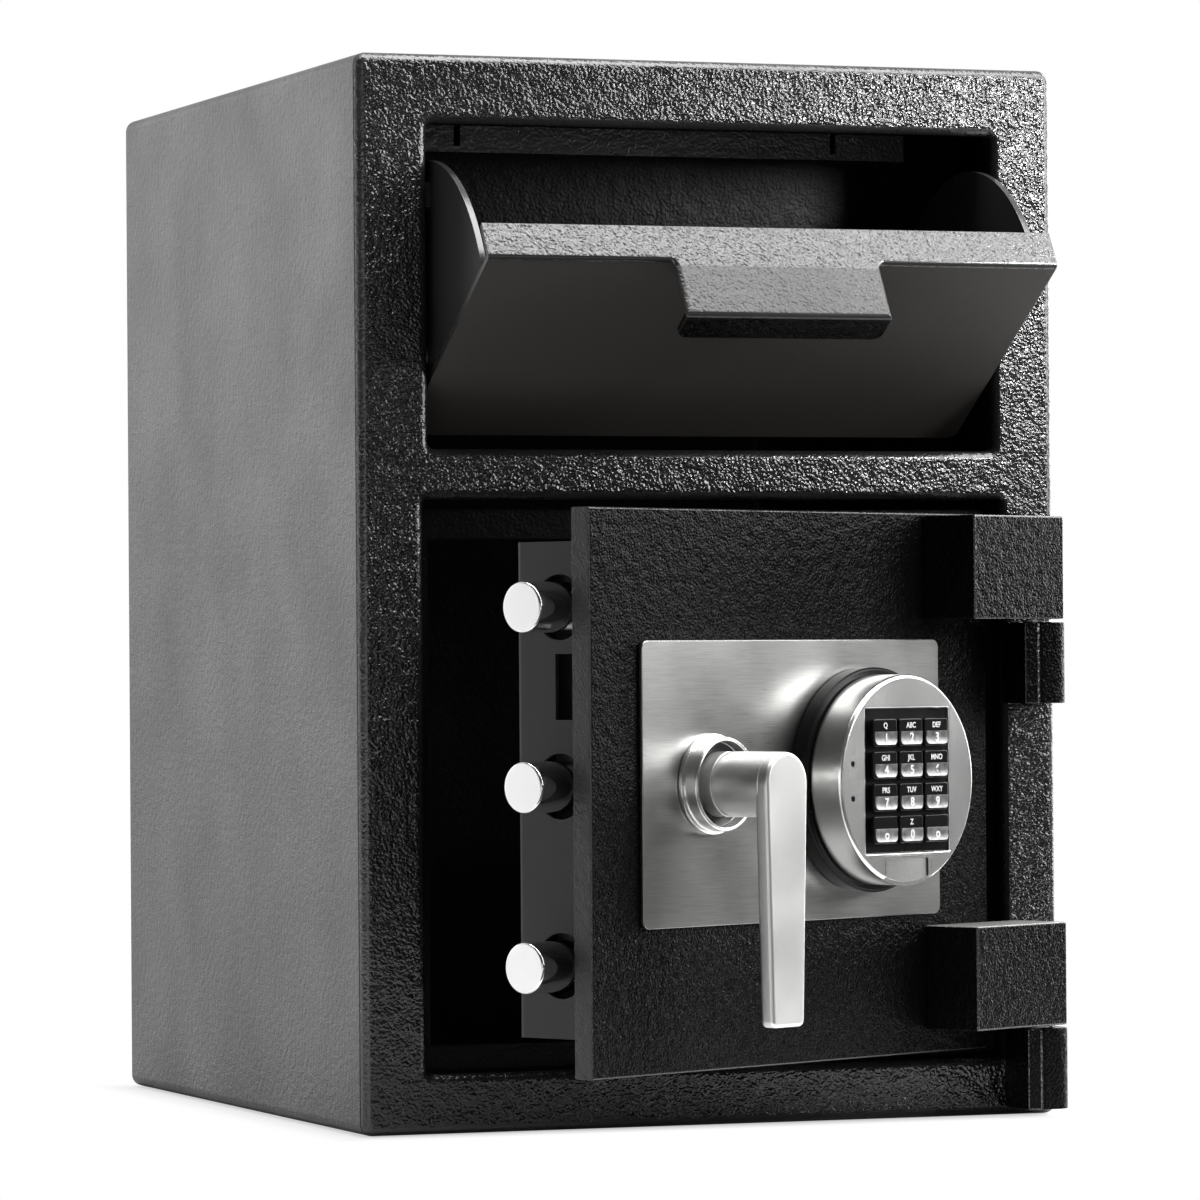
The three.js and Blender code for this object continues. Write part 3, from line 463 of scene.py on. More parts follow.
def ring_profile(turns, outer, **levels):
    """A closed profile about the spindle's hole, by the turns at each named level."""
    heights = list(levels.values())
    first, *rest = [(SPINDLE_HOLE, height) for height in (heights[0], heights[-1], heights[0])]
    rim = [(outer - inset * MM, levels[at] + rise * MM) for at in levels for inset, rise in turns[at]]
    return [first, *rim, *rest]


def copied(piece, name, shift):
    """A copy with its own mesh, moved."""
    activate(piece)
    bpy.ops.object.duplicate(linked=False)
    twin = bpy.context.object
    twin.name = name
    twin.location = shift
    apply_place(twin)
    return twin


def paint(piece, material):
    """Leaves one finish on an object."""
    piece.data.materials.clear()
    piece.data.materials.append(material)


def seat(piece, body, slot, material, stance=STILL, *nodes):
    """Brings a shut piece to where it rests and ties it to its body, finish and nodes."""
    piece.matrix_world = stance @ piece.matrix_world
    apply_place(piece)
    paint(piece, material)
    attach(piece, body)
    if nodes:
        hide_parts(*nodes)


def finish_faces(piece, material, test, stance=STILL):
    """Gives another finish to the faces whose shut centre and normal pass the test."""
    back = stance.inverted()
    turn = back.to_3x3()
    piece.data.materials.append(material)
    pick(piece, "FACE", lambda f: test(back @ f.calc_center_median(), turn @ f.normal))
    piece.active_material_index = len(piece.data.materials) - 1
    bpy.ops.object.material_slot_assign()
    done()


def rounded(normal):
    """Whether a face belongs to a rounded edge of a square piece."""
    return max(abs(part) for part in normal) < SQUARELY


def coat_rim(piece, stance=STILL, where=lambda p: True):
    """The glossier coat of the rounded front edges."""
    finish_faces(piece, RIM_COAT, lambda p, n: n.y < -BARELY and rounded(n) and where(p), stance)


# Shader groups that several finishes share

def new_group(name, inputs, outputs):
    group = bpy.data.node_groups.new(name, "ShaderNodeTree")
    for title, kind, value in inputs:
        socket = group.interface.new_socket(title, in_out="INPUT", socket_type=kind)
        socket.default_value = value
    for title, kind in outputs:
        group.interface.new_socket(title, in_out="OUTPUT", socket_type=kind)
    return group, group.nodes.new("NodeGroupInput"), group.nodes.new("NodeGroupOutput")


def set_inputs(made, pairs):
    for target, value in pairs:
        made.inputs[target].default_value = value


def node(tree, kind, links=(), values=(), **properties):
    """Adds a node with its properties, its (output, input) links and its (input, value) pairs."""
    made = tree.nodes.new(kind)
    for key, value in properties.items():
        setattr(made, key, value)
    for source, target in links:
        tree.links.new(source, made.inputs[target])
    set_inputs(made, values)
    return made


def math_node(tree, operation, *terms):
    """The result of an operation on outputs and plain numbers."""
    links = [(term, place) for place, term in enumerate(terms) if not isinstance(term, (int, float))]
    values = [(place, term) for place, term in enumerate(terms) if isinstance(term, (int, float))]
    return node(tree, "ShaderNodeMath", links, values, operation=operation).outputs[0]


def times(tree, first, second):
    return math_node(tree, "MULTIPLY", first, second)


def ease(tree, value, reach, least, most):
    """Eases from least to most as a value crosses a reach."""
    values = zip(("From Min", "From Max", "To Min", "To Max"), (*reach, least, most))
    made = node(tree, "ShaderNodeMapRange", [(value, "Value")], values, interpolation_type="SMOOTHSTEP")
    return made.outputs["Result"]


def colour(shade):
    """A grey from one number, or a colour from three."""
    return (*(shade if isinstance(shade, tuple) else (shade,) * 3), 1)


def orange_peel_group():
    """Height of a sprayed powder coat: rounded pebbles over a slow swell, with finer grain on them."""
    group, given, out = new_group(
        "orange_peel",
        [("Grain", "NodeSocketFloat", 420.0)],
        [("Height", "NodeSocketFloat"), ("Patch", "NodeSocketFloat")],
    )
    place = node(group, "ShaderNodeTexCoord").outputs["Object"]
    grain = given.outputs["Grain"]

    def texture(kind, share, *values):
        scale = grain if share == 1 else times(group, grain, share)
        return node(group, kind, [(place, "Vector"), (scale, "Scale")], values)

    waves = texture("ShaderNodeTexNoise", 1, ("Detail", 1.4), ("Roughness", 0.4), ("Distortion", 0.2))
    far = texture("ShaderNodeTexVoronoi", 1.1).outputs["Distance"]
    swell = texture("ShaderNodeTexNoise", 0.3, ("Detail", 0))
    fine = texture("ShaderNodeTexNoise", 3, ("Detail", 0))
    dome = times(group, times(group, far, far), -0.4)
    height = math_node(group, "ADD", waves.outputs["Fac"], dome)
    height = math_node(group, "ADD", height, swell.outputs["Fac"])
    height = math_node(group, "ADD", height, times(group, fine.outputs["Fac"], 0.1))
    group.links.new(height, out.inputs["Height"])
    patch = node(group, "ShaderNodeTexNoise", [(place, "Vector")], [("Scale", 14), ("Detail", 3)])
    group.links.new(patch.outputs["Fac"], out.inputs["Patch"])
    return group


def brushing_group():
    """Fine grain along one direction, with a slower drift that clouds the polish."""
    group, given, out = new_group(
        "brushing",
        [("Along", "NodeSocketVector", (20, 20, 2500)), ("Clouds", "NodeSocketFloat", 30.0)],
        [("Grain", "NodeSocketFloat"), ("Cloud", "NodeSocketFloat")],
    )
    place = node(group, "ShaderNodeTexCoord").outputs["Object"]
    stretched = node(
        group, "ShaderNodeVectorMath", [(place, 0), (given.outputs["Along"], 1)], operation="MULTIPLY"
    )
    lines = node(
        group, "ShaderNodeTexNoise", [(stretched.outputs[0], "Vector")],
        [("Scale", 1), ("Detail", 4), ("Roughness", 0.7)],
    )
    group.links.new(lines.outputs["Fac"], out.inputs["Grain"])
    clouds = [(place, "Vector"), (given.outputs["Clouds"], "Scale")]
    cloud = node(group, "ShaderNodeTexNoise", clouds, [("Detail", 3)])
    group.links.new(cloud.outputs["Fac"], out.inputs["Cloud"])
    return group


def spread_group():
    """Brings a mask to a range of values, such as a roughness from least to most."""
    places = {"Mask": "Value", "Least": "To Min", "Most": "To Max"}
    usual = {"Mask": 0.5, "Least": 0.3, "Most": 0.5}
    group, given, out = new_group(
        "spread",
        [(title, "NodeSocketFloat", value) for title, value in usual.items()],
        [("Value", "NodeSocketFloat")],
    )
    links = [(given.outputs[title], place) for title, place in places.items()]
    mapped = node(group, "ShaderNodeMapRange", links, [("From Min", 0.3), ("From Max", 0.7)])
    group.links.new(mapped.outputs["Result"], out.inputs["Value"])
    return group


ORANGE_PEEL = orange_peel_group()
BRUSHING = brushing_group()
SPREAD = spread_group()


# Finishes

def new_material(name):
    made = bpy.data.materials.new(name)
    made.use_nodes = True
    return made, made.node_tree, made.node_tree.nodes["Principled BSDF"]


def placed_group(tree, group, **values):
    return node(tree, "ShaderNodeGroup", values=values.items(), node_tree=group)


def spread(tree, mask, least, most):
    made = placed_group(tree, SPREAD, Least=least, Most=most)
    tree.links.new(mask, made.inputs["Mask"])
    return made.outputs["Value"]


def tint(tree, mask, dark, light):
    """A colour between two, by a mask."""
    ends = [("A", colour(dark)), ("B", colour(light))]
    return node(tree, "ShaderNodeMix", [(mask, "Factor")], ends, data_type="RGBA").outputs["Result"]


def bump(tree, shader, height, strength, distance):
    values = [("Strength", strength), ("Distance", distance)]
    made = node(tree, "ShaderNodeBump", [(height, "Height")], values)
    tree.links.new(made.outputs["Normal"], shader.inputs["Normal"])


def dress(tree, shader, masks, colours, gloss):
    """Colour by one mask and roughness by another."""
    tree.links.new(tint(tree, masks[0], *colours), shader.inputs["Base Color"])
    tree.links.new(spread(tree, masks[1], *gloss), shader.inputs["Roughness"])


def coat_material(name, dark, light, grain, depth, gloss, shine=0.35):
    """Powder coat: a grainy height over a dark colour that clouds a little."""
    made, tree, shader = new_material(name)
    peel = placed_group(tree, ORANGE_PEEL, Grain=grain).outputs
    dress(tree, shader, (peel["Patch"], peel["Patch"]), (dark, light), gloss)
    bump(tree, shader, peel["Height"], 1.0, depth)
    set_inputs(shader, [("Specular IOR Level", shine)])
    return made


def metal_material(name, dark, light, along, gloss, depth, clouds=30.0):
    """Metal with a directional grain and clouded polish."""
    made, tree, shader = new_material(name)
    lines = placed_group(tree, BRUSHING, Along=along, Clouds=clouds).outputs
    share = math_node(tree, "MULTIPLY_ADD", lines["Cloud"], 0.5, times(tree, lines["Grain"], 0.5))
    dress(tree, shader, (spread(tree, share, 0, 1), share), (dark, light), gloss)
    bump(tree, shader, lines["Grain"], 0.5, depth)
    set_inputs(shader, [("Metallic", 1)])
    return made


def plastic_material(name, dark, light, gloss, scale=300.0, depth=0.00002, shine=0.5):
    """Moulded plastic with a very fine grain and faint handling marks."""
    made, tree, shader = new_material(name)
    lines = placed_group(tree, BRUSHING, Along=(scale * 6,) * 3, Clouds=scale / 6).outputs
    dress(tree, shader, (lines["Cloud"], lines["Cloud"]), (dark, light), gloss)
    bump(tree, shader, lines["Grain"], 0.3, depth)
    set_inputs(shader, [("Specular IOR Level", shine)])
    return made


# Darkest and lightest grey, pebbles in a metre, their height, range of roughness, and shine
BLACK = (0.005, 0.008)
# JET_AND_SHADE: near-black for the paint inside the safe, and for painted shade on the darker black coat
JET_AND_SHADE = (0.002, 0.004)
CHARCOAL = (0.016, 0.021)
SHELL_COAT = coat_material("shell_coat", *BLACK, 600, 0.0008, (0.12, 0.18), 0.8)
SIDE_COAT = coat_material("side_coat", *CHARCOAL, 900, 0.0003, (0.34, 0.44), 0.5)
# Painted shade: the black coat made darker and far less shiny on the door, its hinges and the drawer
# tab's underside and drop
SHADED_BLACK_COAT = coat_material("black_coat_painted_shade", *JET_AND_SHADE, 760, 0.0006, (0.12, 0.2), 0.06)
RIM_COAT = coat_material("rim_coat", 0.006, 0.016, 620, 0.0003, (0.2, 0.32), 1.0)
# Painted light: a light grey standing in for light from above on the lower hinge block's upward faces
TOP_PAINTED_LIGHT = coat_material(
    "top_painted_light", (0.16, 0.16, 0.155), (0.30, 0.30, 0.29), 620, 0.0002, (0.3, 0.4), 0.8
)
# A warm satin grey on the drawer panel, made lighter than the black coat as painted light: it stands in
# for the floor's light reflected in the open panel
PANEL_PAINTED_LIGHT = coat_material(
    "panel_satin_painted_light", (0.063, 0.059, 0.055), (0.075, 0.070, 0.065), 900, 0.00003, (0.5, 0.6), 0.1
)
EDGE_PAINT = coat_material("edge_paint", *CHARCOAL, 900, 0.00003, (0.22, 0.32), 1.0)
SATIN_PAINT = coat_material("satin_paint", *CHARCOAL, 900, 0.00003, (0.38, 0.48), 0.2)
LIP_COAT = coat_material("lip_coat", *CHARCOAL, 620, 0.0006, (0.28, 0.36), 1.0)
TAB_COAT = coat_material("tab_coat", *CHARCOAL, 620, 0.0005, (0.40, 0.48), 0.75)
# Near-black paint inside the safe, also used as painted shade on the openings' left-facing rolled edges
INNER_PAINT_AND_EDGE_SHADE = coat_material("inner_paint_and_edge_shade", *JET_AND_SHADE, 600, 0.0003, (0.35, 0.5), 0.08)
# A grey coat on the baffle channel, lightened as painted light where the lamps barely reach
CHANNEL_PAINTED_LIGHT = coat_material("channel_grey_painted_light", 0.05, 0.07, 600, 0.0004, (0.2, 0.3), 0.8)
BOX_PAINT = coat_material("box_paint", *CHARCOAL, 900, 0.00004, (0.42, 0.55))

# Darkest and lightest tone, fineness of the grain by axis, range of roughness, depth, and clouds
BRUSHED_PLATE = metal_material(
    "brushed_plate", (0.24, 0.24, 0.235), (0.48, 0.48, 0.47), (60, 60, 4000), (0.26, 0.40), 0.00002, 16
)
SATIN_NICKEL = metal_material(
    "satin_nickel", (0.86, 0.86, 0.85), (0.93, 0.93, 0.92), (3200,) * 3, (0.21, 0.29), 0.000004, 25
)
LEVER_NICKEL = metal_material(
    "lever_nickel", (0.86, 0.86, 0.85), (0.95, 0.95, 0.94), (2400, 2400, 500), (0.32, 0.42), 0.000008, 40
)
TURNED_END = metal_material("turned_end", 0.88, 0.93, (3000, 900, 900), (0.3, 0.38), 0.000006, 60)
BRIGHT_CHROME = metal_material(
    "bright_chrome", (0.72, 0.72, 0.73), (0.86, 0.86, 0.87), (3000, 200, 200), (0.06, 0.16), 0.000004, 90
)
ZINC_PLATE = metal_material(
    "zinc_plate", (0.38, 0.38, 0.36), (0.52, 0.52, 0.50), (300, 300, 900), (0.30, 0.48), 0.00002, 45
)
PAD_METAL = metal_material("pad_metal", 0.2, 0.5, (400,) * 3, (0.3, 0.4), 0.000006, 300)
COVER_NICKEL = metal_material(
    "cover_nickel", (0.5, 0.5, 0.49), (0.72, 0.72, 0.71), (900,) * 3, (0.3, 0.4), 0.00001
)
# Painted shade: near-black metal on the rosette's dish floor and on the left-facing wall of the battery
# cover's dip
RECESS_PAINTED_SHADE = metal_material("recess_painted_shade", 0.03, 0.07, (900,) * 3, (0.3, 0.45), 0.00001)

# Darkest and lightest grey, and range of roughness
PAD_PLASTIC = plastic_material("pad_plastic", 0.004, 0.007, (0.25, 0.38), shine=0.15)
KEY_PLASTIC = plastic_material("key_plastic", 0.004, 0.007, (0.12, 0.22), shine=0.3)
RUBBER = plastic_material("rubber", 0.010, 0.018, (0.7, 0.85), 120, 0.00008)
WHITE_INK = plastic_material("white_ink", (0.70, 0.70, 0.69), (0.82, 0.82, 0.81), (0.45, 0.6))


# Body: shell with two openings

def body_shell():
    low, high = span("front_frame")
    rear = span("body_wrap")[1]
    piece = block("body_shell", low, (high.x, rear.y, high.z))
    bevel(piece, lambda e: runs(e, "y"), BODY_BEND, 8)
    bevel(piece, lambda e: in_plane(e, "y", low.y), FRONT_EDGE, 6)
    rim = FRONT_EDGE * 2
    cavity = block(
        "cavity",
        (low.x + BODY_WALL, low.y + rim, BODY_WALL),
        (high.x - BODY_WALL, rear.y + BODY_WALL, high.z - BODY_WALL),
    )
    cut(piece, cavity)
    for place in openings():
        cut(piece, flared(place, low.y, FRONT_EDGE, OPENING_CORNER, rim * 2))
    for x in (-ANCHOR_PLACE[0], ANCHOR_PLACE[0]):
        for y in (-ANCHOR_PLACE[1], ANCHOR_PLACE[1]):
            bore(piece, "z", ANCHOR_HOLE, low.z - SHEET, BODY_WALL + SHEET, (x, y), HOLE_SIDES)
    soften(piece, SHELL_EDGE, 1)
    seat(piece, "body", "shell", SHELL_COAT, STILL, "front_frame", "body_wrap")
    coat_rim(piece)
    # Painted shade: the rolled edges on the right of both openings, which face left, are painted
    # near-black
    finish_faces(piece, INNER_PAINT_AND_EDGE_SHADE, lambda p, n: n.x < -PARTLY and p.x > 0 and rounded(n))
    finish_faces(piece, INNER_PAINT_AND_EDGE_SHADE, lambda p, n: n.y > -SLIGHTLY and p.y > low.y + FRONT_EDGE / 2)
    finish_faces(piece, SIDE_COAT, lambda p, n: p.y > low.y + FRONT_EDGE and on_skin(p, low, high))


def flared(place, face, roll, corner, depth):
    """A cutter for an opening in a front face: round corners, and a roll that widens to the front."""
    left, bottom, right, top = place
    piece = block("flared", (left - roll, face - SHEET, bottom - roll), (right + roll, face, top + roll))
    bevel(piece, lambda e: runs(e, "y"), corner + roll, 8)
    pick(piece, "FACE", lambda f: near(f.calc_center_median().y, face))
    turns = quarter_turns(ROLL_STEPS)
    for first, second in zip(turns, turns[1:]):
        inward = roll * (math.sin(second) - math.sin(first))
        bpy.ops.mesh.inset(thickness=inward, depth=roll * (math.cos(first) - math.cos(second)))
    bpy.ops.mesh.extrude_region_move(TRANSFORM_OT_translate={"value": (0, depth, 0)})
    done()
    return piece


def on_skin(point, low, high):
    """Whether a point lies on the outside of the sheet, its bends included."""
    aside = min(point.x - low.x, high.x - point.x)
    above = min(point.z - low.z, high.z - point.z)
    return min(aside, above) < SHEET / 2 or aside + above < BODY_BEND


def openings():
    """Left, bottom, right and top of the drawer's opening and of the doorway, by the frame's flat."""
    low, high = span("front_frame")
    edge = BODY_BEND
    flat = [v.co for v in NODES["front_frame"].data.vertices if near(v.co.y, high.y)]
    inner = [p for p in flat if abs(p.x) < high.x - edge * 2 and edge < p.z < high.z - edge]
    halves = []
    for part in ([p for p in inner if p.z > RAIL_LEVEL], [p for p in inner if p.z < RAIL_LEVEL]):
        xs = [p.x for p in part]
        zs = [p.z for p in part]
        halves.append((min(xs), min(zs), max(xs), max(zs)))
    return halves


body_shell()


# Drawer: a bent panel with a pull tab, and its two cheeks

def drawer_panel():
    low, high = span("drawer_panel", DRAWER)
    nose, face, top = low.y, low.y + TAB_REACH, high.z
    middle_x = (low.x + high.x) / 2
    tab_left, tab_right = middle_x - TAB_WIDTH / 2, middle_x + TAB_WIDTH / 2
    piece = block("drawer_panel", (low.x, face, low.z), (high.x, face + SHEET, top))
    weld(
        piece,
        block("flange", (low.x, face, top - SHEET), (high.x, high.y, top)),
        block("tab", (tab_left, nose, top - SHEET), (tab_right, face + SHEET, top)),
        block("lip", (tab_left, nose, top - TAB_DROP), (tab_right, nose + SHEET, top)),
    )
    clean_up(piece)
    bevel(piece, lambda e: runs(e, "y", z=low.z), PANEL_CORNER, 6)
    bevel(piece, lambda e: runs(e, "y", z=top - TAB_DROP), TAB_CORNER, 6)
    bevel(piece, lambda e: runs(e, "z", y=face) and middle(e).z > top - SHEET, TAB_FILLET, 5)
    bevel(piece, lambda e: in_plane(e, "z", top) and middle(e).y < face + SHEET, SHEET_BEND, 5)
    soften(piece, PANEL_EDGE)
    pick(piece, "FACE", lambda f: True)
    bpy.ops.mesh.bisect(plane_co=(0, face - TAB_FILLET, 0), plane_no=(0, 1, 0))
    done()
    # The panel's satin grey is lightened as painted light
    seat(piece, "drawer", "drawer", PANEL_PAINTED_LIGHT, DRAWER, "drawer_panel")
    coat_flange(piece, face, top - SHEET_BEND)


def coat_flange(piece, face, crown):
    """Grained coat on the flange, rubbed duller on its tab; satin below, lightened there as painted
    light, with painted shade under the tab and on its drop, and polished edges.
    """
    coats = (
        (LIP_COAT, lambda p, n: p.z > crown),
        (TAB_COAT, lambda p, n: p.y < face - TAB_FILLET - SEAM and p.z > crown),
        # painted shade under the tab and on its drop
        (SHADED_BLACK_COAT, lambda p, n: p.y < face - SEAM and p.z < crown),
        (EDGE_PAINT, lambda p, n: p.y < face + SHEET_BEND and rounded(n) and n.y < -GENTLY),
        (EDGE_PAINT, lambda p, n: n.x < -HALF and p.y > face and p.z < crown),
    )
    for coat, test in coats:
        finish_faces(piece, coat, test, DRAWER)


def cheek(hand):
    name = "drawer_cheek_" + hand
    inward = 1 if hand == "left" else -1
    panel_low, panel_high = span("drawer_panel", DRAWER)
    outer = (panel_low if hand == "left" else panel_high).x + CHEEK_INSET * inward
    start, end = sorted((outer, outer + SHEET * inward))
    pivot = DRAWER_PIVOT.yz
    piece = drum(name, "x", CHEEK_RADIUS, start, end, pivot, CHEEK_SIDES)
    slice_off(piece, (0, panel_low.y + TAB_REACH + SHEET + SEAM, 0), (0, -1, 0))
    above = Vector((0, math.sin(FLOOR_SLOPE), math.cos(FLOOR_SLOPE)))
    slice_off(piece, DRAWER_PIVOT - above * (FLOOR_BELOW_PIVOT + SHEET), -above)
    bevel(piece, lambda e: runs(e, "x") and creased(e, 40), CHEEK_CORNER)
    bore(piece, "x", PIN_HOLE, start - SHEET, end + SHEET, pivot)
    weld(piece, stop_lug(span(name)[0 if hand == "left" else 1].x, outer + SHEET / 2 * inward))
    soften(piece, CHEEK_EDGE)
    seat(piece, "drawer", "drawer", SATIN_PAINT, DRAWER, name)
    rim = CHEEK_RADIUS - MM
    finish_faces(piece, EDGE_PAINT, lambda p, n: abs(n.x) < HALF and (p.yz - pivot).length > rim, DRAWER)


def stop_lug(tip, root):
    """The lug that meets the back of the front frame, drawn where it stands open."""
    left, right = sorted((tip, root))
    near_face = span("front_frame")[1].y + SEAM
    low = DRAWER_PIVOT.z + LUG_RISE
    piece = block("lug", (left, near_face, low), (right, near_face + LUG_DEPTH, low + LUG_HEIGHT))
    bevel(piece, lambda e: runs(e, "x"), LUG_CORNER, 3)
    piece.matrix_world = DRAWER.inverted() @ piece.matrix_world
    apply_place(piece)
    return piece


# Door and hinges

def door_slab():
    low, high = span("door_plate", DOOR)
    piece = block("door_slab", low, high)
    bevel(piece, lambda e: in_plane(e, "y", low.y), DOOR_EDGE)
    bore(piece, "y", SPINDLE_HOLE, low.y - SHEET, high.y + SHEET, SPINDLE, HOLE_SIDES)
    soften(piece, SLAB_EDGE)
    # Painted shade: the door takes the darker, duller black coat
    seat(piece, "door", "shell", SHADED_BLACK_COAT, DOOR, "door_plate")
    finish_faces(piece, SIDE_COAT, lambda p, n: n.y > -SLIGHTLY, DOOR)
    coat_rim(piece, DOOR)


def hinge_block(level):
    name = "hinge_block_" + level
    low, high = span(name, DOOR)
    door_low, door_high = span("door_plate", DOOR)
    piece = block(name, low, (high.x, door_low.y - SEAM, high.z))
    weld(piece, block("tail", (door_high.x + SEAM, low.y + SHEET, low.z), high))
    pin = "hinge_pin_" + level
    bevel(piece, lambda e: runs(e, "z", x=high.x, y=high.y), BLOCK_CORNER)
    centre = (DOOR.inverted() @ Vector((*centre_of(pin, "xy"), 0))).xy
    bore(piece, "z", PIN_BORE, low.z - SHEET, span(pin)[1].z + SEAM, centre)
    soften(piece, BLOCK_EDGE, 3)
    # Painted shade: the hinge block takes the darker, duller black coat
    seat(piece, "door", "shell", SHADED_BLACK_COAT, DOOR, name)
    coat_rim(piece, DOOR)
    if level == "lower":
        # Painted light on the block's upward faces
        finish_faces(piece, TOP_PAINTED_LIGHT, lambda p, n: n.z > LARGELY, DOOR)


def hinge_knuckle(level):
    name = "hinge_knuckle_" + level
    low, high = span(name)
    piece = block(name, low, high)
    bevel(piece, lambda e: runs(e, "z", x=high.x, y=low.y), KNUCKLE_ROUND, 10)
    groove = low.x + KNUCKLE_GROOVE
    cut(piece, v_cutter(groove, low.y, low.z - SHEET, high.z + SHEET))
    pin = "hinge_pin_" + level
    bore(piece, "z", PIN_BORE, span(pin)[0].z - SEAM, high.z + SHEET, centre_of(pin, "xy"))
    soften(piece, KNUCKLE_EDGE)
    # Painted shade: the knuckle takes the darker, duller black coat
    seat(piece, "body", "shell", SHADED_BLACK_COAT, STILL, name)
    coat_rim(piece, STILL, lambda p: p.x < groove)


def v_cutter(x, face, low, high):
    """A square bar on edge that leaves a V in a front face."""
    half = GROOVE_DEPTH * math.sqrt(2)
    bar = block("v_bar", (-half, -half, low), (half, half, high))
    bar.rotation_euler = (0, 0, math.pi / 4)
    bar.location = (x, face - GROOVE_DEPTH, 0)
    apply_place(bar)
    return bar


# Bolt work

BOLT_LEVELS = ("lower", "middle", "upper")


def bolt_box():
    low, high = span("bolt_box", DOOR)
    piece = block("bolt_box", low, high)
    room = block(
        "room",
        (low.x + BOX_SHEET, low.y - SHEET, low.z + BOX_SHEET),
        (high.x - BOX_SHEET, high.y - BOX_SHEET, high.z - BOX_SHEET),
    )
    cut(piece, room)
    bevel(piece, lambda e: runs(e, "z", y=high.y), BOX_BEND, 6)
    corners = [(x, z) for x in (low.x, high.x) for z in (low.z, high.z)]
    bevel(piece, lambda e: any(runs(e, "y", x=x, z=z) for x, z in corners), BOX_CORNER, 5)
    left, inside = low.x - SHEET, low.x + BOX_SHEET + SHEET
    for level in BOLT_LEVELS:
        centre = centre_of("bolt_" + level, "yz", DOOR)
        bore(piece, "x", BOLT_HOLE, left, inside, centre, BOLT_HOLE_SIDES)
    rear = low.y + BOX_SLOT_BACK
    slot_low = (left, rear - BOX_SLOT_WIDTH, BOX_SLOT_LOW)
    cut(piece, block("slot", slot_low, (low.x + SHEET * 2, rear, BOX_SLOT_HIGH)))
    soften(piece, BOX_EDGE)
    seat(piece, "door", "inner", BOX_PAINT, DOOR, "bolt_box")


def locking_bolts():
    low, high = span("bolt_lower", DOOR)
    bar_low, bar_high = span("bolt_bar", DOOR)
    centre = centre_of("bolt_lower", "yz", DOOR)
    first = drum("bolt_lower", "x", (high.y - low.y) / 2, low.x, high.x, centre)
    bevel(first, lambda e: in_plane(e, "x", low.x), BOLT_CHAMFER)
    half = (bar_high.y - bar_low.y) / 2 + SEAM
    opening = block(
        "bar_slot",
        (bar_low.x - SEAM, centre[0] - half, low.z - SHEET),
        (high.x + SHEET, centre[0] + half, high.z + SHEET),
    )
    cut(first, opening)
    soften(first, BOLT_EDGE)
    for level in BOLT_LEVELS[1:]:
        rise = span("bolt_" + level, DOOR)[0].z - low.z
        finish_bolt(copied(first, "bolt_" + level, (0, 0, rise)), level)
    finish_bolt(first, "lower")


def finish_bolt(piece, level):
    """Chrome round the bolt and a duller turned face on its end."""
    seat(piece, "bolts", "chrome", BRIGHT_CHROME, DOOR, "bolt_" + level)
    finish_faces(piece, TURNED_END, lambda p, n: n.x < -MOSTLY, DOOR)


# Escutcheon and lever

def escutcheon():
    low, high = span("escutcheon", DOOR)
    piece = block("escutcheon", low, high)
    bevel(piece, lambda e: runs(e, "y"), PLATE_CORNER, 8)
    bore(piece, "y", SPINDLE_HOLE, low.y - SHEET, high.y + SHEET, SPINDLE, HOLE_SIDES)
    soften(piece, PLATE_EDGE, 3)
    seat(piece, "door", "brushed", BRUSHED_PLATE, DOOR, "escutcheon")


def rosette():
    low, high = span("lever_rosette", DOOR)
    outer = (high.x - low.x) / 2
    profile = ring_profile(
        ROSETTE_TURNS, outer, foot=SEAM, step=ROSETTE_STEP, crown=PLATE - low.y, dish=ROSETTE_FLOOR
    )
    piece = turn_profile("lever_rosette", profile, PLATE, SPINDLE)
    smooth(piece, 45)
    seat(piece, "door", "satin", SATIN_NICKEL, DOOR, "lever_rosette")
    floor = PLATE - ROSETTE_FLOOR
    # Painted shade on the dish's floor
    finish_faces(piece, RECESS_PAINTED_SHADE, lambda p, n: n.y < -MOSTLY and near(p.y, floor, DISH_SLACK), DOOR)


def lever_handle():
    low, high = span("lever_handle", DOOR)
    axis_x, axis_z = SPINDLE
    radius = high.z - axis_z
    arm_back = low.y + ARM_THICKNESS
    arm = block("lever_handle", (axis_x - radius, low.y, low.z), (axis_x + radius, arm_back, high.z))
    pick(arm, "VERT", lambda v: near(v.co.z, low.z))
    narrowing = (ARM_TIP / (radius * 2), 1, 1)
    bpy.ops.transform.resize(value=narrowing, center_override=(axis_x, low.y, low.z))
    done()
    bevel(arm, lambda e: runs(e, "y", z=low.z), ARM_TIP_CORNER, 5)
    bevel(arm, lambda e: runs(e, "y", z=high.z), radius, 20)
    soften(arm, ARM_EDGE, 4, 40)
    foot = PLATE - high.y
    top = PLATE - (low.y + ARM_THICKNESS / 2)
    profile = ring_profile(HUB_TURNS, radius, foot=foot, ring=foot + HUB_RING, top=top)
    hub = turn_profile("lever_hub", profile, PLATE, SPINDLE)
    bore(hub, "y", radius * 2, low.y - SHEET, arm_back - ARM_THICKNESS / 4, SPINDLE, SMALL_SIDES)
    smooth(hub, 30)
    seat(hub, "lever", "satin", LEVER_NICKEL, DOOR)
    seat(arm, "lever", "satin", LEVER_NICKEL, DOOR, "lever_handle")


# Keypad

def keypad_base():
    low, high = span("keypad_base", DOOR)
    outer, rise = (high.x - low.x) / 2, PLATE - low.y
    profile = [
        (0, SEAM),
        (outer - BASE_FOOT, SEAM),
        (outer, SEAM + BASE_FOOT),
        *quarter_round(outer, rise, BASE_EDGE, 4),
        (outer - BASE_FACE, rise),
        (0, rise),
    ]
    piece = turn_profile("keypad_base", profile, PLATE, KEYPAD_CENTRE)
    smooth(piece, 35)
    seat(piece, "door", "keypad", PAD_PLASTIC, DOOR, "keypad_base")


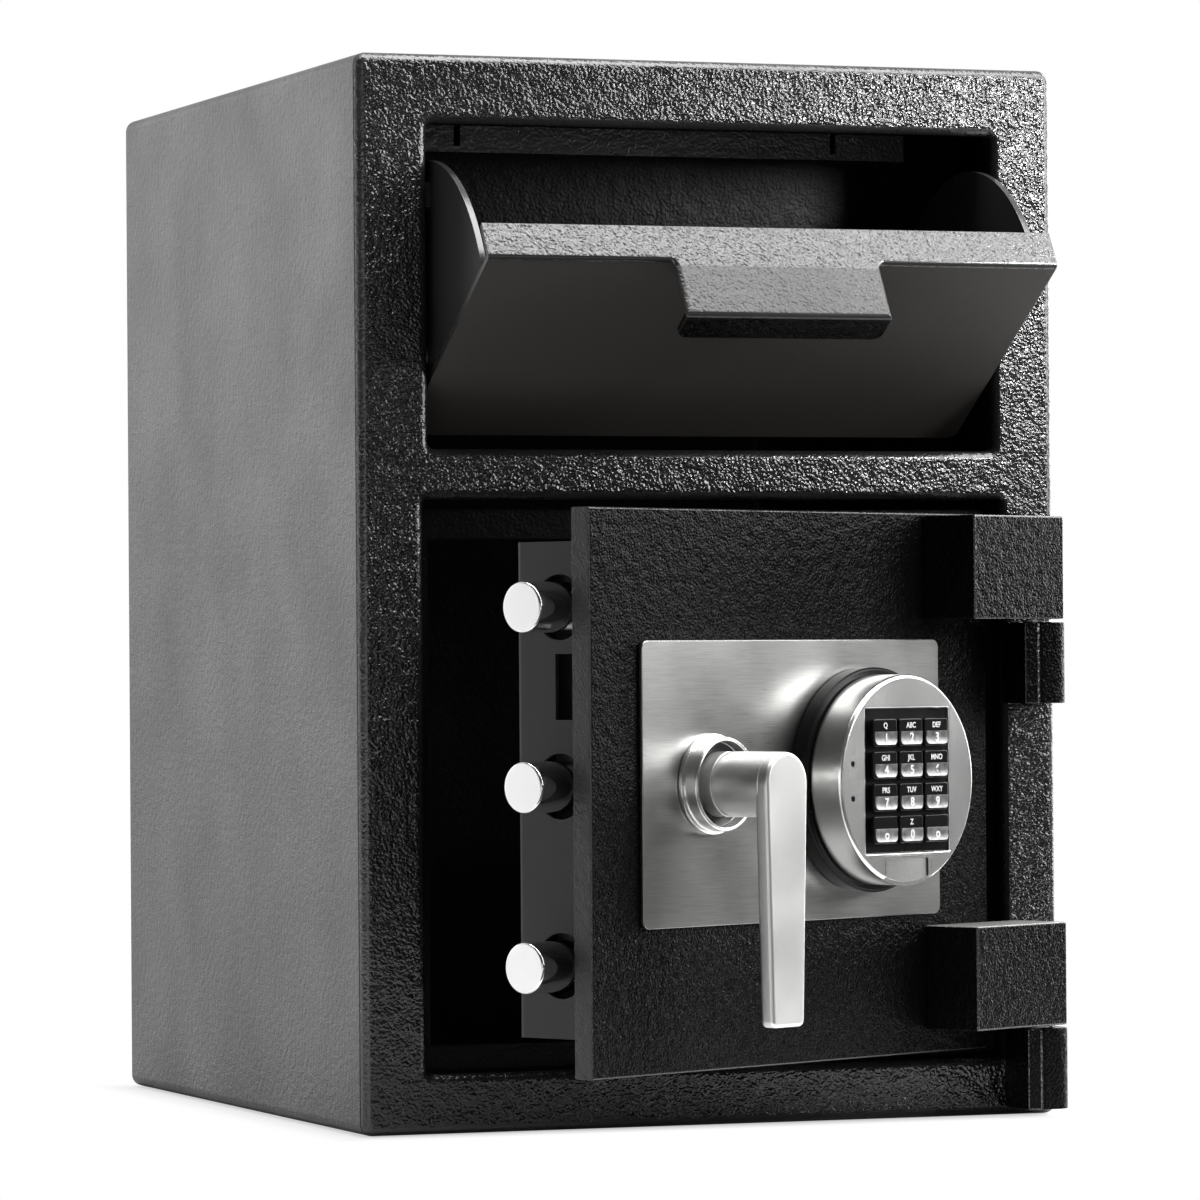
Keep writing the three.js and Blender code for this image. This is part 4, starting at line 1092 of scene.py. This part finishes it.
def keypad_housing():
    low, high = span("keypad_housing", DOOR)
    outer, rise, foot = (high.x - low.x) / 2, PLATE - low.y, PLATE - high.y
    profile = [
        (0, foot),
        (outer - HOUSING_FOOT, foot),
        (outer, foot + HOUSING_FOOT),
        *quarter_round(outer, rise, HOUSING_EDGE, 5),
        (outer - HOUSING_FACE, rise),
        (0, rise),
    ]
    piece = turn_profile("keypad_housing", profile, PLATE, KEYPAD_CENTRE, DISC_SIDES)
    mat_low, mat_high = span("key_mat", DOOR)
    place = (mat_low.x - SEAM, mat_low.z - SEAM, mat_high.x + SEAM, mat_high.z + SEAM)
    depth = mat_high.y + SEAM - low.y - WINDOW_ROLL
    window = flared(place, low.y, WINDOW_ROLL, WINDOW_CORNER, depth)
    cover_low, cover_high = span("battery_cover", DOOR)
    recess = block(
        "recess",
        (cover_low.x - COVER_PLAY, low.y - SHEET, low.z - SHEET),
        [side + COVER_PLAY for side in cover_high],
    )
    cut(piece, window, recess)
    for level in ("upper", "lower"):
        lamp = "lamp_" + level
        lamp_low, lamp_high = span(lamp, DOOR)
        radius = (lamp_high.x - lamp_low.x) / 2 + SEAM
        centre = centre_of(lamp, "xz", DOOR)
        bore(piece, "y", radius, low.y - SHEET, lamp_high.y + SEAM, centre, SMALL_SIDES)
    soften(piece, KEYPAD_EDGE)
    seat(piece, "door", "satin", SATIN_NICKEL, DOOR, "keypad_housing")


KEY_LETTERS = {
    "1": "Q", "2": "ABC", "3": "DEF", "4": "GHI", "5": "JKL", "6": "MNO",
    "7": "PRS", "8": "TUV", "9": "WXY", "left": "", "0": "Z", "right": "",
}


def lettering(name, words, centre, height, lift, weight):
    """Raised letters that face the front, centred on a point."""
    deselect()
    bpy.ops.object.text_add(location=centre, rotation=TURNS["y"])
    text = bpy.context.object.data
    text.body = words
    text.size = height
    text.extrude = lift
    text.offset = weight
    text.align_x = text.align_y = "CENTER"
    bpy.ops.object.convert(target="MESH")
    piece = bpy.context.object
    piece.name = name
    apply_place(piece)
    return piece


def keys():
    low, high = span("key_1", DOOR)
    mat = span("key_mat", DOOR)[0].y
    face = low.y + PAD_RISE
    cap = block("key_1_cap", (low.x, face, low.z), (high.x, mat - KEY_FLOAT, high.z))
    bevel(cap, lambda e: runs(e, "y"), KEY_CORNER)
    soften(cap, CAP_EDGE, 3)
    centre, centre_z = centre_of("key_1", "xz", DOOR)
    foot, top = low.z + PAD_FOOT, centre_z + PAD_TOP
    pad = block("key_1_pad", (low.x + PAD_SIDE, low.y, foot), (high.x - PAD_SIDE, face + PAD_RISE, top))
    bevel(pad, lambda e: runs(e, "y", z=foot), PAD_ROUND, 6)
    bevel(pad, lambda e: runs(e, "y", z=top), PAD_CORNER, 2)
    pad_z = (foot + top) / 2
    dish_centre = (low.y - PAD_DISH + PAD_HOLLOW, pad_z)
    bore(pad, "x", PAD_DISH, low.x - SHEET, high.x + SHEET, dish_centre, DISC_SIDES)
    soften(pad, PAD_EDGE)
    digit_spot = Vector((centre, low.y + PAD_HOLLOW, pad_z))
    letter_spot = Vector((centre, face, (top + high.z) / 2 - LETTER_DROP))
    for name, words in KEY_LETTERS.items():
        shift = span("key_" + name, DOOR)[0] - low
        across = Vector((shift.x, 0, shift.z))
        body = "key_" + name + "_button"
        seat(copied(cap, "cap_" + name, shift), body, "keypad", KEY_PLASTIC, DOOR, "key_" + name)
        seat(copied(pad, "pad_" + name, shift), body, "keypad", PAD_METAL, DOOR)
        mark = name if name.isdigit() else "o"
        size = (DIGIT_HEIGHT, DIGIT_LIFT, DIGIT_WEIGHT)
        digit = lettering("digit_" + name, mark, digit_spot + across, *size)
        seat(digit, body, "keypad", WHITE_INK, DOOR)
        if words:
            spot = letter_spot + across
            size = (LETTER_HEIGHT, LETTER_LIFT, LETTER_WEIGHT)
            letters = lettering("letters_" + name, words, spot, *size)
            seat(letters, body, "keypad", WHITE_INK, DOOR)
    bpy.data.objects.remove(cap)
    bpy.data.objects.remove(pad)


def battery_cover():
    low, high = span("battery_cover", DOOR)
    housing_low, housing_high = span("keypad_housing", DOOR)
    radius = (housing_high.x - housing_low.x) / 2 - HOUSING_EDGE
    piece = drum("battery_cover", "y", radius, low.y, high.y, KEYPAD_CENTRE, DISC_SIDES)
    bound = block("bound", low - Vector((0, SHEET, SHEET)), high + Vector((0, SHEET, 0)))
    combine(piece, bound, "INTERSECT")
    dip = block(
        "dip",
        (low.x + COVER_RIM, low.y - SHEET, low.z - SHEET),
        (high.x - COVER_RIM * 2, low.y + COVER_DIP, high.z - COVER_RIM),
    )
    bevel(dip, lambda e: runs(e, "y"), DIP_CORNER)
    cut(piece, dip)
    soften(piece, KEYPAD_EDGE)
    seat(piece, "battery_cover_plate", "satin", SATIN_NICKEL, DOOR, "battery_cover")
    floor = low.y + COVER_DIP / 2
    finish_faces(piece, COVER_NICKEL, lambda p, n: n.y < -MOSTLY and p.y > floor, DOOR)
    # Painted shade on the dip's left-facing wall
    finish_faces(piece, RECESS_PAINTED_SHADE, lambda p, n: n.x < -HALF and p.y < low.y + COVER_DIP, DOOR)


drawer_panel()
for hand in ("left", "right"):
    cheek(hand)
door_slab()
for level in ("upper", "lower"):
    hinge_block(level)
    hinge_knuckle(level)
bolt_box()
locking_bolts()
escutcheon()
rosette()
lever_handle()
keypad_base()
keypad_housing()
keys()
battery_cover()

# Plain CAD pieces that keep their shape and take a finish
PLAIN_NODES = (
    (SIDE_COAT, ("back_panel",)),
    (INNER_PAINT_AND_EDGE_SHADE, ("door_stop_frame", "fishing_baffle", "drawer_guard")),
    (INNER_PAINT_AND_EDGE_SHADE, ("pivot_bracket_left", "pivot_bracket_right")),
    # baffle channel: grey lightened as painted light
    (CHANNEL_PAINTED_LIGHT, ("baffle_channel",)),
    (SATIN_PAINT, ("drawer_floor",)),
    (RUBBER, ("floor_bumper_left", "floor_bumper_right")),
    (ZINC_PLATE, ("pivot_pin_left", "pivot_pin_right", "hinge_pin_upper", "hinge_pin_lower")),
    (ZINC_PLATE, ("hinge_washer_upper", "hinge_washer_lower", "bolt_guide", "bolt_bar")),
    (ZINC_PLATE, ("lock_case", "lever_spindle", "drive_cam")),
    (PAD_PLASTIC, ("key_mat",)),
    (KEY_PLASTIC, ("lamp_upper", "lamp_lower")),
)
for finish, names in PLAIN_NODES:
    for name in names:
        paint(NODES[name], finish)


# Camera, floor and light

def add_camera():
    rise, turn = CAMERA_RISE, CAMERA_TURN
    back = Vector((math.sin(turn) * math.cos(rise), -math.cos(turn) * math.cos(rise), math.sin(rise)))
    right = (-back).cross(Vector((0, 0, 1))).normalized()
    up = right.cross(-back)
    rolled = right * math.cos(CAMERA_ROLL) + up * math.sin(CAMERA_ROLL)
    top = up * math.cos(CAMERA_ROLL) - right * math.sin(CAMERA_ROLL)
    camera = bpy.data.objects.new("camera", bpy.data.cameras.new("camera"))
    bpy.context.scene.collection.objects.link(camera)
    basis = Matrix((rolled, top, back)).transposed().to_4x4()
    camera.matrix_world = Matrix.Translation(CAMERA_AIM + back * CAMERA_DISTANCE) @ basis
    lens = camera.data
    lens.sensor_width = SENSOR
    lens.lens = FOCAL_PIXELS / IMAGE_SIDE * SENSOR
    lens.shift_x = (IMAGE_SIDE / 2 - OPTICAL_CENTRE[0]) / IMAGE_SIDE
    lens.shift_y = (OPTICAL_CENTRE[1] - IMAGE_SIDE / 2) / IMAGE_SIDE
    bpy.context.scene.camera = camera


def add_lamp(name, place, aim, size, power, cone=math.pi):
    light = bpy.data.lights.new(name, "AREA")
    light.shape = "RECTANGLE"
    light.size, light.size_y = size
    light.energy = power
    light.spread = cone
    lamp = bpy.data.objects.new(name, light)
    bpy.context.scene.collection.objects.link(lamp)
    lamp.location = place
    lamp.rotation_euler = (Vector(aim) - Vector(place)).to_track_quat("-Z", "Y").to_euler()


def studio_surface(piece, grey, shine, other, fade=None):
    """A dull grey that shows another shader to the camera."""
    made, tree, shader = new_material(piece.name)
    dull = [("Base Color", colour(grey)), ("Roughness", STUDIO_ROUGHNESS), ("Specular IOR Level", shine)]
    set_inputs(shader, dull)
    seen = node(tree, "ShaderNodeLightPath").outputs["Is Camera Ray"]
    if fade:
        seen = times(tree, seen, fade(tree))
    shown = node(tree, other).outputs[0]
    mix = node(tree, "ShaderNodeMixShader", [(seen, 0), (shader.outputs["BSDF"], 1), (shown, 2)])
    tree.links.new(mix.outputs["Shader"], tree.nodes["Material Output"].inputs["Surface"])
    piece.data.materials.append(made)


def floor_fade(tree):
    """Full beyond the safe's outline, and less under and beside it, where the shadow shows."""
    place = node(tree, "ShaderNodeTexCoord").outputs["Object"]
    way = node(tree, "ShaderNodeSeparateXYZ", [(place, "Vector")]).outputs
    high = span("body_wrap")[1]
    past = [
        math_node(tree, "SUBTRACT", math_node(tree, "ABSOLUTE", way[axis]), reach)
        for axis, reach in (("X", high.x), ("Y", high.y))
    ]
    return ease(tree, math_node(tree, "MAXIMUM", *past), SHADOW_REACH, SHADOW_GLOW, 1)


def add_floor():
    deselect()
    bpy.ops.mesh.primitive_plane_add(size=FLOOR_SIZE, location=(0, 0, -FLOOR_DROP))
    floor = bpy.context.object
    floor.name = "studio_floor"
    studio_surface(floor, FLOOR_GREY, 0, "ShaderNodeEmission", floor_fade)


def add_card(name, low, high):
    """A dark card on the floor, which only polish and soft light can see."""
    card = block(name, (*low, 0), (*high, MM))
    studio_surface(card, CARD_GREY, 0.5, "ShaderNodeBsdfTransparent")


def add_world():
    """White to the camera; polish shows a pale backdrop behind the safe and a dim room before it."""
    world = bpy.data.worlds.new("studio")
    bpy.context.scene.world = world
    world.use_nodes = True
    tree = world.node_tree
    background = tree.nodes["Background"]
    set_inputs(background, [("Color", colour(1))])
    rays = node(tree, "ShaderNodeLightPath").outputs
    place = node(tree, "ShaderNodeTexCoord").outputs["Generated"]
    way = node(tree, "ShaderNodeSeparateXYZ", [(place, "Vector")])
    depth = ease(tree, way.outputs["Y"], ROOM_DEPTH, ROOM_LIGHT, BACKDROP_LIGHT)
    polished = math_node(tree, "MAXIMUM", rays["Is Glossy Ray"], rays["Is Transmission Ray"])
    shiny = times(tree, polished, depth)
    strength = math_node(tree, "MAXIMUM", rays["Is Camera Ray"], shiny)
    soft = times(tree, rays["Is Diffuse Ray"], WORLD_FILL)
    strength = math_node(tree, "MAXIMUM", strength, soft)
    tree.links.new(strength, background.inputs["Strength"])


add_camera()
add_floor()
add_world()
add_card("dark_card_right", (0.5, -1.6), (2.4, 0.1))
add_card("dark_card_front", (-0.35, -1.5), (0.49, -0.42))

# Lamps: place, aim, size in metres, and power in watts
add_lamp("key_light", (0.34, -0.594, 0.55), (0.18, -0.2, 0.455), (0.1, 0.1), 0.44, math.radians(60))
add_lamp("top_light", (0.38, -0.6, 1.6), (0.05, -0.25, 0.4), (0.8, 1.1), 23.5)
add_lamp("over_light", (-0.35, -0.15, 1.5), (0, -0.3, 0.25), (0.5, 0.5), 9)
add_lamp("rim_panel", (1.3, 0.4, 0.8), (0.1, -0.2, 0.3), (0.8, 1.5), 20)
add_lamp("back_left_panel", (-1.1, 1.6, 0.6), (-0.1, 0, 0.25), (1.3, 1.2), 6)
add_lamp("left_strip", (-1.2, 0.05, 0.28), (-0.1, -0.3, 0.25), (0.3, 0.6), 0.7)
add_lamp("side_panel", (0.95, -0.62, 0.76), (0.05, -0.3, 0.3), (0.6, 0.9), 13)
add_lamp("fill_light", (-1.1, -2.6, 0.2), (0, -0.2, 0.3), (1.0, 1.0), 4)

bpy.context.scene.view_settings.view_transform = "Standard"
